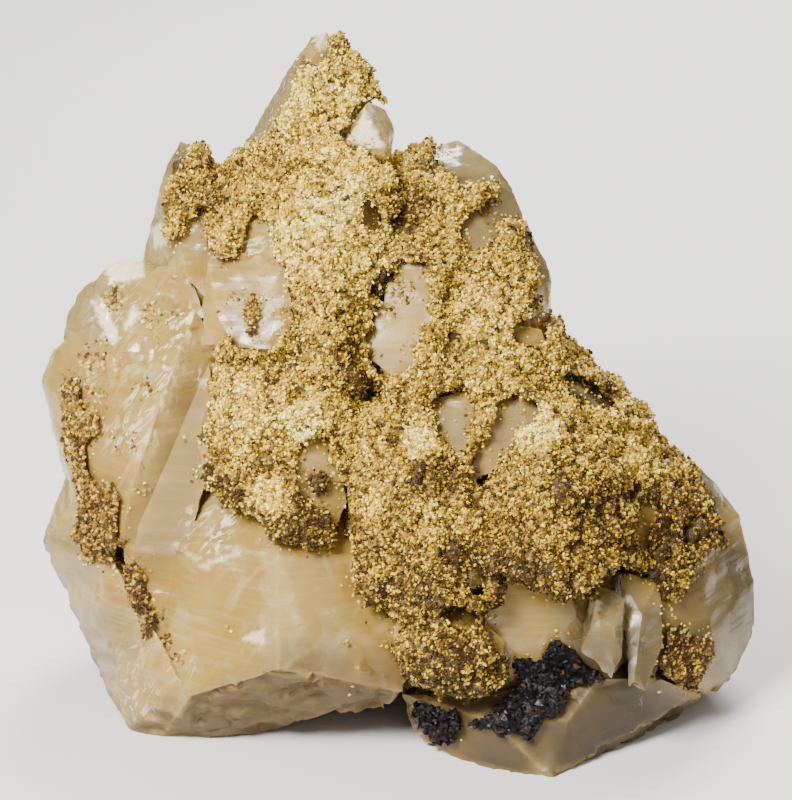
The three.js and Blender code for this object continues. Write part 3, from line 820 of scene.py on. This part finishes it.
# Loose grains of crust on bare quartz
LOOSE_SPOTS = spots(
    (0.8, 15.6, 2.6), (-1.3, 12.2, 1.8), (-1.2, 17.4, 1.6), (-40, 14.7, 2.2),
    (-33.7, 12.2, 3.4, 0.8), (-41.8, 6.2, 3.6, 0.9), (-43.6, 1.0, 3.2, 0.8), (-34.1, -30.6, 1.4),
    (-32.5, -33.4, 1.4), (-30.9, -36.2, 1.3), (-23.9, -32.4, 0.9), (-16.1, -37.3, 0.9),
    (-7.4, -33.8, 0.9), (-7.2, -40.4, 0.9), (-38, -6, 2.6, 0.5), (-35.5, 2.0, 2.4, 0.4),
    (-36, -13, 2.2, 0.6), (-26.0, 24.5, 2.6, 0.5), (-22.6, 15.0, 2.4, 0.5), (13.5, -38.4, 1.2),
    (20, -39.8, 1.2), (17, -37.2, 1.0), (-0.6, -24.6, 1.2),
)
# Where these grains and the fringe's are browner
LEFT_SPOTS = spots(
    (-42, 3, 16), (-36, -32, 10), (-10, -37, 9),
)
# Faces broken up into small facets
ROUGH_SPOTS = spots(
    (-38, 12, 16), (-36, -2, 9, 0.7), (-18, 20, 14, 0.6), (-26, 28, 10, 0.8), (-17, 40, 8, 0.6),
    (14, 28, 9, 0.3), (-42, -32, 12, 0.4), (-30, -45, 14, 0.5), (24, -46, 14, 0.4),
    (-1, 17, 7, 0.3), (-28, -1, 5, 0.2), (-25, -15, 7, 0.5), (-6, -40, 10, 0.5),
)
# Painted shade on the quartz: the dark foot, the valley face and other faces turned from the light
QUARTZ_SHADE_SPOTS = spots(
    (28, -45, 16, 0.95), (14, -47, 13, 0.95), (6, -45, 8, 0.85), (46, -26, 12, 0.25),
    (36, -31, 5, 0.15), (0, -42, 8, 0.4), (-28, -1, 5, 0.3), (-30, -8, 5, 0.35),
    (-31, -14, 5.5, 0.35), (-33, -19, 5, 0.35), (-35, -23, 4, 0.3), (36, -45, 9, 0.9),
    (-41, -32, 7, 0.12),
)
# Matt faces
DULL_SPOTS = spots(
    (-31, -6, 9), (-33, -15, 8), (-29.5, -13, 8), (-28, 2, 6), (1, 12, 5, 0.8), (0, 6, 6, 0.8),
    (1, 17, 4, 0.6), (28, -45, 15, 0.7), (14, -47, 12, 0.7), (-20, 14, 6, 0.4),
    (-16.8, -22, 3.4, 0.9), (-16.8, -26, 3.4, 0.9), (-16.8, -30.5, 3.4, 0.9),
    (-16.8, -35, 3.4, 0.9),
)
# Breaks given the underside's painted shade
SHADED_BREAK_SPOTS = spots(
    (-12, -40.5, 11, 0.8), (-20, -45, 10, 0.7), (-2, -38, 6, 0.6),
)


@dataclass
class QuartzCluster:
    """The crystals grown together, with broken edges, growth steps and a broken base."""

    node: str = "quartz"
    mesh_mm: float = 0.69  # from one vertex of the finished mesh to the next
    halvings: int = 8  # how often the remesh halves its box
    sharp_deg: float = 20.0  # an edge is nicked from this angle between its faces
    smooth_deg: float = 24.0  # faces that meet at less than this are shaded as one
    nicked_mm: float = 0.8  # how far from an edge it is nicked
    worn_mm: float = 0.3  # how far from an edge it looks worn
    nick_mm: float = 3.2  # the length of a nick
    chip_mm: float = 0.5  # how deep an edge is nicked
    tread_mm: float = 5.0  # the width of a growth step
    step_mm: float = 0.3  # height of as many growth steps as the next value says
    step_count: int = 4
    ripple_mm: float = 6.5  # the width of a ripple on a break
    break_mm: float = 0.7  # height of the ripples on a break
    facets_mm: tuple[float, float] = (4.5, 2.1)  # the sizes of the large and small facets
    facet_mm: float = 0.7  # how strongly the facets stand out where it is rough
    highest_mm: float = 0.35  # how far any of this may stand out
    standing_mm: float = 0.05  # what is lower than this stands on the ground and stays
    veil_mm: float = 7.0  # the size of a patch in which clearness and frost vary
    clump_mm: float = 1.9  # the size of a clump of loose grains
    speck_mm: float = 3.0  # the size of a darker speck in a stain
    near_mm: float = 4.0  # no crust farther off than this marks the quartz
    stain_mm: float = 1.6  # how far the stain beside a crust spreads
    fringe_mm: float = 1.3  # how far the loose grains beside a crust spread
    covered_mm: float = 1.2  # the quartz counts as covered by a crust this near above it
    finish: QuartzFinish = field(default_factory=QuartzFinish)
    piece: bpy.types.Object | None = None

    def shape(self) -> BVHTree:
        """Makes the weathered crystals from their solid, and gives their surface.

        Returns:
            The surface, ready to search.
        """
        self.piece = merged_copy(self.node, "quartz_cluster")
        sharp = sharp_places(self.piece.data, self.sharp_deg, step_mm=0.3)
        even = self.piece.modifiers.new("even", "REMESH")
        even.mode = "SHARP"
        even.octree_depth = self.halvings
        even.scale = max(self.piece.dimensions) / (self.mesh_mm * MM * 2**self.halvings)
        applied(self.piece)
        self._weather(self.piece.data, sharp)
        return surface_of([self.piece])

    def dress(self, crusts: BVHTree) -> bpy.types.Object:
        """Gives the cluster its finish, in place of its solid.

        Args:
            crusts: the crusts' surfaces, which stain the quartz beside them.

        Returns:
            The finished piece.
        """
        mesh = self.piece.data
        self._mark(mesh, crusts)
        mesh.polygons.foreach_set("use_smooth", np.ones(len(mesh.polygons), bool))
        mesh.set_sharp_from_angle(angle=math.radians(self.smooth_deg))
        mesh.materials.append(self.finish.build())
        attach(self.piece, "root")
        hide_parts(self.node)
        return self.piece

    def _weather(self, mesh: bpy.types.Mesh, sharp: KDTree) -> None:
        """Nicks the edges, steps the faces and breaks up the base and back.

        Args:
            mesh: the even mesh, which is changed.
            sharp: places along the solid's sharp edges.
        """
        points, normals, seen = measured(mesh)
        reach = np.array([sharp.find(Vector(point))[2] for point in points]) / MM
        beside, worn = (np.exp(-((reach / width) ** 2)) for width in (self.nicked_mm, self.worn_mm))
        nick = np.clip(noise_at(points, self.nick_mm, 3.1, 3) * 3 - 0.9, 0, 1)
        steps = noise_at(points * np.array([0.5, 0.5, 1.3]), self.tread_mm, 8.7, 3)
        stepped = np.round(steps * self.step_count) / self.step_count
        ripples = 1 - np.abs(noise_at(points, self.ripple_mm, 21.3, 3)) * 2
        under = np.clip((-normals[:, 2] - 0.25) * 4, 0, 1)
        broken = np.maximum(at_back(seen) * 0.8, under)
        rough = np.clip(strongest(ROUGH_SPOTS, seen) + broken, 0.08, 1)
        large_mm, small_mm = self.facets_mm
        facets = facets_at(points, large_mm, 11.9) + 0.5 * facets_at(points, small_mm, 47.2)
        height = -beside * nick * self.chip_mm + rough * facets * self.facet_mm
        height += (1 - broken) * stepped * self.step_mm
        height += broken * (ripples - 0.6) * self.break_mm
        height = np.minimum(height, self.highest_mm)
        moved = points + normals * (height * MM)[:, None]
        standing = points[:, 2] < self.standing_mm * MM
        moved[standing, 2] = points[standing, 2]
        moved[:, 2] = np.maximum(moved[:, 2], 0)
        move_vertices(mesh, moved)
        # edges lighter: partly wear, partly a painted highlight along them
        store(mesh, "edge", worn * 0.35 + beside * nick * 0.4)

    def _mark(self, mesh: bpy.types.Mesh, crusts: BVHTree) -> None:
        """Stores where the quartz is clear, frosted, stained or under a crust, and where it
        gets painted highlights and painted shade.

        Args:
            mesh: the weathered mesh.
            crusts: the crusts' surfaces.
        """
        points, normals, seen = measured(mesh)
        front = np.clip((seen[:, 2] + 16) / 5, 0, 1)  # the spots don't show through to the back
        veil = noise_at(points, self.veil_mm, 41.7, 3)
        clarity = strongest(CLEAR_SPOTS, seen) * front
        clarity = clarity * (1 + 0.3 * veil) + np.clip(0.3 * veil - 0.1, 0, 1)
        frost_and_glint = strongest(FROST_AND_GLINT_SPOTS, seen) * front
        frost_and_glint = frost_and_glint * (0.9 + 0.8 * veil) + np.clip(veil - 0.6, 0, 1)
        gap = np.full(len(points), 9.0)  # in mm, and this where no crust is near
        covered = np.zeros(len(points), bool)
        for i, (place, normal) in enumerate(zip(map(Vector, points), map(Vector, normals))):
            near = crusts.find_nearest(place, self.near_mm * MM)
            if near[0] is not None:
                gap[i] = near[3] / MM
            hit = crusts.ray_cast(place + normal * 0.05 * MM, normal, self.covered_mm * MM)
            covered[i] = hit[0] is not None
        fringe = np.exp(-((gap / self.fringe_mm) ** 2))
        fringe[covered] = 0
        specks = np.clip(noise_at(points, self.speck_mm, 77.1) + 0.1, 0, 1)
        # painted shade: faces turned down near the bottom, and the listed breaks, get the dark
        # underside colour
        under = np.clip((-normals[:, 2] - 0.05) * 2.5, 0, 1) * np.clip((-22 - seen[:, 1]) / 6, 0, 1)
        under = np.clip(under + strongest(SHADED_BREAK_SPOTS, seen) * front, 0, 1)
        loose = strongest(LOOSE_SPOTS, seen) * front
        loose = loose * np.clip(0.8 + 2.4 * noise_at(points, self.clump_mm, 9.4), 0, 1)
        masks = {
            # painted shade on the foot, the valley face and other faces turned from the light
            "painted_shade": strongest(QUARTZ_SHADE_SPOTS, seen),
            "clarity": np.clip(clarity, 0, 1),
            "frost_and_glint": np.clip(frost_and_glint, 0, 1),
            "dull": np.maximum(strongest(DULL_SPOTS, seen) * front, 0.5 * at_back(seen)),
            # painted highlights on small faces that glint
            "painted_glint": strongest(PAINTED_GLINT_FACETS, seen) * front,
            "stain": np.clip(np.exp(-gap / self.stain_mm) * 0.6 * (0.5 + specks), 0, 0.6),
            "painted_underside_shade": under * 0.85,
            "fringe": fringe * np.clip((seen[:, 1] + 38) / 6, 0.1, 1),
            "loose": np.where(covered, 0, loose),
            "shade": 0.12 * specks,
            "tint_and_painted_light": 0.1 - 0.2 * strongest(LEFT_SPOTS, seen),
        }
        for name, values in masks.items():
            store(mesh, name, values)


@dataclass(frozen=True)
class GrainSizes:
    """How the grains of a crust lie on it, in millimetres."""

    spacing: float = 0.31  # the least from one grain's middle to the next
    smallest: float = 0.17  # radius
    largest: float = 0.38
    lowest: float = -0.15  # height of a grain's middle above the sheet
    highest: float = 0.3
    seed: int = 1


class GrainTree:
    """A Geometry Nodes tree that grows small faceted grains over a surface."""

    most_per_square_metre = 3.0e7
    lengths = ("Spacing", "Smallest", "Largest", "Lowest", "Highest")

    def __init__(self) -> None:
        """Builds the tree and its named inputs."""
        self.tree = bpy.data.node_groups.new("crust_grains", "GeometryNodeTree")
        self.identifiers: dict[str, str] = {}
        self._add_inputs()
        self._add_nodes()

    def _add_inputs(self) -> None:
        """Gives the tree its inputs and its output."""
        kinds = {
            "Surface": "NodeSocketGeometry",
            **dict.fromkeys(self.lengths, "NodeSocketFloat"),
            "Seed": "NodeSocketInt",
            "Material": "NodeSocketMaterial",
        }
        for name, kind in kinds.items():
            socket = self.tree.interface.new_socket(name, in_out="INPUT", socket_type=kind)
            self.identifiers[name] = socket.identifier
        self.tree.interface.new_socket("Grains", in_out="OUTPUT", socket_type="NodeSocketGeometry")

    def _grain_shape(self, seed: int, pointed: bool) -> bpy.types.NodeSocket:
        """Makes one uneven grain of radius 1: pointed with 8 faces, or rounder with 20.

        Args:
            seed: for the unevenness.
            pointed: whether it has 8 faces.

        Returns:
            The grain's mesh.
        """
        tree = self.tree
        if pointed:
            ball = add_node(
                tree, "GeometryNodeMeshUVSphere", {"Segments": 4, "Rings": 2, "Radius": 1.15}
            )
        else:
            ball = add_node(tree, "GeometryNodeMeshIcoSphere", {"Radius": 1.0, "Subdivisions": 1})
        shift = add_node(
            tree,
            "FunctionNodeRandomValue",
            {0: (-0.26, -0.26, -0.26), 1: (0.26, 0.26, 0.26), "Seed": seed},
            data_type="FLOAT_VECTOR",
        )
        uneven = add_node(
            tree,
            "GeometryNodeSetPosition",
            {"Geometry": ball.outputs["Mesh"], "Offset": shift.outputs[0]},
        )
        return uneven.outputs["Geometry"]

    def _add_nodes(self) -> None:
        """Builds the tree: points on the surface, a turned grain on each, realized."""
        tree = self.tree
        given = add_node(tree, "NodeGroupInput").outputs
        growth = add_node(
            tree, "GeometryNodeInputNamedAttribute", {"Name": "growth"}, data_type="FLOAT"
        ).outputs["Attribute"]
        spread = add_node(
            tree,
            "GeometryNodeDistributePointsOnFaces",
            {
                "Mesh": given["Surface"],
                "Distance Min": given["Spacing"],
                "Density Max": self.most_per_square_metre,
                "Density Factor": growth,
                "Seed": given["Seed"],
            },
            distribute_method="POISSON",
        )
        shapes = add_node(tree, "GeometryNodeGeometryToInstance")
        for seed, pointed in ((4, True), (3, False), (2, True), (1, True)):
            tree.links.new(self._grain_shape(seed, pointed), shapes.inputs[0])
        turn, which, size, tone, rise, slim = (
            add_node(tree, "FunctionNodeRandomValue", inputs, data_type=kind).outputs[result]
            for kind, result, inputs in (
                ("FLOAT_VECTOR", 0, {1: (2 * math.pi,) * 3, "Seed": 11}),
                ("INT", 2, {4: 0, 5: 3, "Seed": 12}),
                ("FLOAT", 1, {2: given["Smallest"], 3: given["Largest"], "Seed": 13}),
                ("FLOAT", 1, {2: 0.0, 3: 1.0, "Seed": 14}),
                ("FLOAT", 1, {2: given["Lowest"], 3: given["Highest"], "Seed": 15}),
                ("FLOAT_VECTOR", 0, {0: (0.6,) * 3, 1: (1.1,) * 3, "Seed": 16}),
            )
        )
        scale, raised = (
            add_node(
                tree, "ShaderNodeVectorMath", {0: vector, "Scale": amount}, operation="SCALE"
            ).outputs[0]
            for vector, amount in ((slim, size), (spread.outputs["Normal"], rise))
        )
        points = add_node(
            tree, "GeometryNodeSetPosition", {"Geometry": spread.outputs["Points"], "Offset": raised}
        )
        toned = add_node(
            tree,
            "GeometryNodeStoreNamedAttribute",
            {"Geometry": points.outputs["Geometry"], "Name": "tone", "Value": tone},
            data_type="FLOAT",
            domain="POINT",
        )
        grains = add_node(
            tree,
            "GeometryNodeInstanceOnPoints",
            {
                "Points": toned.outputs["Geometry"],
                "Instance": shapes.outputs[0],
                "Pick Instance": True,
                "Instance Index": which,
                "Rotation": turn,
                "Scale": scale,
            },
        )
        real = add_node(
            tree, "GeometryNodeRealizeInstances", {"Geometry": grains.outputs["Instances"]}
        )
        dressed = add_node(
            tree,
            "GeometryNodeSetMaterial",
            {"Geometry": real.outputs["Geometry"], "Material": given["Material"]},
        )
        add_node(tree, "NodeGroupOutput", {"Grains": dressed.outputs["Geometry"]})

    def grow(
        self,
        surface: bpy.types.Mesh,
        name: str,
        sizes: GrainSizes,
        material: bpy.types.Material,
    ) -> bpy.types.Object:
        """Grows grains over a surface and makes them one plain mesh.

        Args:
            surface: the mesh they grow on, with the attribute "growth" for how densely.
            name: the new piece's name.
            sizes: their sizes and spacing.
            material: what they are made of.

        Returns:
            The grains as one object.
        """
        piece = add_object(name, surface.copy())
        modifier = piece.modifiers.new("grains", "NODES")
        modifier.node_group = self.tree
        values = {length: getattr(sizes, length.lower()) * MM for length in self.lengths}
        values |= {"Seed": sizes.seed, "Material": material}
        for key, value in values.items():
            modifier[self.identifiers[key]] = value
        applied(piece)
        piece.data.polygons.foreach_set("use_smooth", np.zeros(len(piece.data.polygons), bool))
        piece.data.materials.clear()
        piece.data.materials.append(material)
        return piece


# Painted shade on the crusts: their dark undersides and gaps
SHADED_SPOTS = spots(
    (-13.8, -18.4, 6, 0.7), (-9.6, -16.5, 4, 0.7), (-2.2, -27.6, 4.5, 0.6), (4.5, -28.0, 4.5, 0.6),
    (8.7, -39, 7, 0.85), (3, -38, 5, 0.8), (14, -37, 4), (19, -24.3, 5), (22.6, -29.5, 4),
    (25, -28.6, 5), (36.1, -26.4, 5), (-11, -11.6, 2.5), (13.4, -23, 4), (0.4, 26, 3.5, 0.7),
    (-1.6, 16.6, 3.5, 0.8), (41, -19, 4, 0.6), (-26.5, -9.8, 3, 0.7), (8.0, -21.2, 3.5, 0.8),
    (28, -16, 4, 0.6), (39.5, -31.5, 6, 0.9), (-24, -13, 4, 0.6),
)
# Holes in the crusts
HOLE_SPOTS = spots(
    (-18.4, -8.6, 2.4), (-7.0, 3.8, 2.0, 0.8), (-12.6, 6.7, 2.0, 0.7), (-7.4, 15.6, 1.8, 0.7),
    (-2.2, 16.2, 2.4), (13.2, -22.0, 1.8), (13.4, -25.5, 1.8), (2.7, -10.2, 2.0),
    (21.9, -12.2, 2.2), (23.8, -13.8, 1.8), (8.0, -21.2, 2.2), (-0.2, -4.4, 1.8),
    (-11.8, 40.2, 1.4, 0.7), (-9.8, 30.4, 1.8), (0.3, 25.2, 1.8), (34.0, -13.0, 2.4),
    (37.4, -21.0, 2.4), (41.6, -18.2, 2.0), (-13.4, 22.4, 1.6),
)
# Pale crust
PALE_SPOTS = spots(
    (-12.9, -2.1, 5), (19, -3, 6), (2.8, -4.9, 4), (-18.6, -13.3, 4), (-11, 42, 10, 0.75),
    (-15, 22, 8, 0.6), (-8, 28, 9, 0.65), (-4.2, -14.8, 3), (-4, 34, 8, 0.6), (-5, 22, 7, 0.5),
    (14, 12, 8, 0.4), (6, -16, 6, 0.4), (34, -9, 5, 0.5), (-22, -1, 7, 0.5),
)
# Brown crust
BROWN_SPOTS = spots(
    (-30, 29, 7, 0.3), (-25, 31, 5, 0.4), (1.5, 28, 5, 0.8), (-10.8, 39.6, 5, 0.5),
    (38, -18, 7, 0.6), (30, -12, 6, 0.4), (5.8, -10.4, 5, 0.8), (-7, 6, 4, 0.6), (8, -1, 4, 0.4),
    (46, -20, 5, 0.5),
)


@dataclass
class CrustSheet:
    """One crust: a lumpy sheet over the quartz, covered with grains."""

    node: str
    coat: Coat
    voxel_mm: float = 0.5
    lump_mm: float = 1.5
    nodules_mm: tuple[float, float] = (4.2, 1.7)  # the sizes of its large and small lumps
    hole_edge_mm: float = 1.8  # the size of the rags at a hole's edge
    pit_mm: float = 2.8  # the size of a pit
    floor_mm: float = 0.3  # how far it stays above the ground
    bare_mm: float = 1.4  # no grain grows where the quartz is nearer above it than this
    own_tone: float = 0.34  # the sheet's tone among its grains, which have 0 to 1
    bands: int = 1
    sizes: GrainSizes = field(default_factory=GrainSizes)
    sheet: bpy.types.Object | None = None
    pieces: list[bpy.types.Object] = field(default_factory=list)

    def shape_sheet(self, quartz: BVHTree) -> None:
        """Makes the lumpy sheet from the crust's solid.

        Args:
            quartz: the surface of the quartz, against which no grains grow.
        """
        self.sheet = merged_copy(self.node, f"{self.node}_sheet")
        remesh = self.sheet.modifiers.new("even", "REMESH")
        remesh.mode = "VOXEL"
        remesh.voxel_size = self.voxel_mm * MM
        smooth = self.sheet.modifiers.new("rounded", "SMOOTH")
        smooth.factor = 0.5
        smooth.iterations = 5
        applied(self.sheet)
        mesh = self.sheet.data
        points, normals, seen = measured(mesh)
        large_mm, small_mm = self.nodules_mm
        creases = cells_at(points, large_mm, 5.3)
        fine = cells_at(points, small_mm, 15.8)
        holes = strongest(HOLE_SPOTS, seen) * (0.65 + 0.6 * noise_at(points, self.hole_edge_mm, 51.4))
        pits = np.clip(noise_at(points, self.pit_mm, 33.2, 3) - 0.6, 0, 1) * 2.2
        pits = np.clip(np.maximum(pits, holes * 0.9), 0, 1.0)
        height = (0.5 - creases) * self.lump_mm + (0.5 - fine) * 0.75 * self.lump_mm
        height -= pits * 1.3 * self.lump_mm
        moved = points + normals * (height * MM)[:, None]
        moved[:, 2] = np.maximum(moved[:, 2], self.floor_mm * MM)
        move_vertices(mesh, moved)
        # painted shade: darker in the creases, under faces turned down, in the shaded spots and in
        # pits and holes
        gaps = np.clip(creases - 0.82, 0, 1) * 2.2 + np.clip(fine - 0.8, 0, 1) * 2.0
        under = np.clip(-normals[:, 2] * 1.2 - 0.3, 0, 0.45)
        ragged = np.clip(3.0 * cells_at(points, small_mm, 61.0) - 1.35, 0, 1)
        shade = np.maximum(strongest(SHADED_SPOTS, seen) * ragged, under)
        shade = np.maximum(shade, np.clip(pits * 1.2 - 0.5, 0, 0.66) * (0.4 + ragged)) + gaps
        pale = strongest(PALE_SPOTS, seen)
        shade -= 0.18 * pale
        tint_and_painted_light = pale - strongest(BROWN_SPOTS, seen)
        # painted light and shade: lump tops paler, and darker towards the bottom
        tint_and_painted_light += 0.5 * (0.45 - fine) - np.clip((-4 - seen[:, 1]) / 26, 0, 0.5)
        if self.coat is Coat.DARK:
            shade *= 0.25
            tint_and_painted_light *= 0
        outer = np.ones(len(points))
        for i, (place, normal) in enumerate(zip(moved, normals)):
            hit = quartz.ray_cast(Vector(place), Vector(normal), self.bare_mm * MM)
            outer[i] = hit[0] is None
        store(mesh, "shade", np.clip(shade, -0.2, 0.9))
        store(mesh, "tint_and_painted_light", tint_and_painted_light)
        store(mesh, "growth", outer)
        store(mesh, "tone", np.full(len(points), self.own_tone))
        mesh.polygons.foreach_set("use_smooth", np.ones(len(mesh.polygons), bool))

    def grow_grains(self, tree: GrainTree, materials: dict[Coat, bpy.types.Material]) -> None:
        """Covers the sheet with grains, in as many pieces as it has bands.

        Args:
            tree: the tree that grows them.
            materials: the material of each coat.
        """
        material = materials[self.coat]
        self.sheet.data.materials.append(material)
        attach(self.sheet, "root")
        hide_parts(self.node)
        for index, part in enumerate(self._band_meshes()):
            name = f"{self.node}_grains" + (f"_{index + 1}" if self.bands > 1 else "")
            piece = tree.grow(part, name, self.sizes, material)
            bpy.data.meshes.remove(part)
            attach(piece, "root")
            self.pieces.append(piece)

    def _band_meshes(self) -> list[bpy.types.Mesh]:
        """Cuts the sheet into bands from bottom to top with like numbers of faces.

        Returns:
            One mesh for each band.
        """
        mesh = self.sheet.data
        up = VIEW.seen(rows_of(mesh.polygons, "center"))[:, 1]
        limits = np.quantile(up, np.linspace(0, 1, self.bands + 1))
        band = np.clip(np.searchsorted(limits, up, side="right") - 1, 0, self.bands - 1)
        parts = []
        for number in range(self.bands):
            shape = bmesh.new()
            shape.from_mesh(mesh)
            outside = [face for face, own in zip(shape.faces, band) if own != number]
            bmesh.ops.delete(shape, geom=outside, context="FACES")
            part = bpy.data.meshes.new(f"{self.node}_band")
            shape.to_mesh(part)
            shape.free()
            parts.append(part)
        return parts


@dataclass(frozen=True)
class Studio:
    """A pale floor and soft light from the upper left."""

    floor_m: float = 3.0
    key_watts: float = 3.3
    key_m: float = 0.12
    fill_watts: float = 0.25
    back_watts: float = 8.5
    sky: float = 0.24

    def build(self) -> None:
        """Makes the floor, the lights and the sky."""
        half = self.floor_m / 2
        mesh = bpy.data.meshes.new("floor")
        corners = [(-half, -half, 0), (half, -half, 0), (half, half, 0), (-half, half, 0)]
        mesh.from_pydata(corners, [], [(0, 1, 2, 3)])
        mesh.materials.append(PaperFinish().build())
        add_object("floor", mesh)
        self._lamp("key_light", VIEW.point(-320, 300, 280), self.key_m, self.key_watts)
        self._lamp("fill_light", VIEW.point(380, 60, 340), 0.35, self.fill_watts)
        self._lamp("back_light", Vector((0.1, 0.45, 0.5)), 0.3, self.back_watts)
        world = bpy.data.worlds.new("studio_sky")
        world.use_nodes = True
        background = world.node_tree.nodes["Background"]
        background.inputs["Color"].default_value = (1.0, 0.99, 0.97, 1.0)
        background.inputs["Strength"].default_value = self.sky
        bpy.context.scene.world = world

    def _lamp(self, name: str, place: Vector, size_m: float, watts: float) -> None:
        """Makes a square soft light that faces the specimen's middle.

        Args:
            name: the light's name.
            place: where it stands, in metres.
            size_m: the length of its side.
            watts: its power.
        """
        data = bpy.data.lights.new(name, "AREA")
        data.size = size_m
        data.energy = watts
        lamp = add_object(name, data)
        lamp.location = place
        towards = Vector((0, 0, 0.04)) - place
        lamp.rotation_euler = towards.to_track_quat("-Z", "Y").to_euler()


def crust_sheets() -> list[CrustSheet]:
    """Lists the crusts, from the largest.

    Returns:
        The crusts, not yet built.
    """
    nodules = GrainSizes(spacing=0.8, smallest=0.4, largest=0.75, seed=5)
    coarse = GrainSizes(spacing=0.38, smallest=0.2, largest=0.44, seed=3)
    return [
        CrustSheet("crust_main", Coat.GOLDEN, bands=5),
        CrustSheet("crust_back", Coat.GOLDEN),
        CrustSheet("crust_left_margin", Coat.BROWN, lump_mm=0.6, sizes=coarse),
        CrustSheet("crust_groove", Coat.BROWN, lump_mm=0.5, sizes=coarse),
        CrustSheet("crust_prism_face", Coat.BROWN, lump_mm=0.4),
        CrustSheet("crust_right_low", Coat.BROWN, lump_mm=0.7),
        CrustSheet("crust_knob", Coat.BROWN, lump_mm=0.5),
        CrustSheet("crust_dark_centre", Coat.DARK, lump_mm=0.8, sizes=nodules),
        CrustSheet("crust_dark_left", Coat.DARK, lump_mm=0.8, sizes=nodules),
    ]


def grow_on_quartz(
    quartz: bpy.types.Object,
    tree: GrainTree,
    name: str,
    mask: str,
    sizes: GrainSizes,
    material: bpy.types.Material,
) -> None:
    """Grows grains straight on the quartz where one of its masks says.

    Args:
        quartz: the finished cluster.
        tree: the tree that grows them.
        name: the new piece's name.
        mask: the quartz's attribute that says where.
        sizes: their sizes and spacing.
        material: what they are made of.
    """
    values = np.zeros(len(quartz.data.vertices), np.float32)
    quartz.data.attributes[mask].data.foreach_get("value", values)
    ground = quartz.data.copy()
    store(ground, "growth", values)
    piece = tree.grow(ground, name, sizes, material)
    bpy.data.meshes.remove(ground)
    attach(piece, "root")
    log.info("%s: %d faces", piece.name, len(piece.data.polygons))


def main() -> None:
    """Builds the specimen's pieces in order and reports each."""
    logging.basicConfig(level=logging.INFO, format="%(message)s")
    VIEW.add_camera()
    Studio().build()
    tree = GrainTree()
    materials = {coat: coat.finish.build() for coat in Coat}
    quartz = QuartzCluster()
    surface = quartz.shape()
    sheets = crust_sheets()
    for sheet in sheets:
        sheet.shape_sheet(surface)
        sheet.grow_grains(tree, materials)
        faces = sum(len(piece.data.polygons) for piece in sheet.pieces)
        log.info("%s: %d faces in %d grain pieces", sheet.node, faces, len(sheet.pieces))
    piece = quartz.dress(surface_of([sheet.sheet for sheet in sheets]))
    log.info("%s: %d faces", piece.name, len(piece.data.polygons))
    fringe = GrainSizes(spacing=0.6, smallest=0.15, largest=0.36, lowest=0.0, highest=0.1, seed=9)
    grow_on_quartz(piece, tree, "fringe_grains", "fringe", fringe, materials[Coat.GOLDEN])
    loose = GrainSizes(spacing=0.4, smallest=0.2, largest=0.48, lowest=0.0, highest=0.2, seed=7)
    grow_on_quartz(piece, tree, "loose_grains", "loose", loose, materials[Coat.BROWN])


if __name__ == "__main__":
    main()
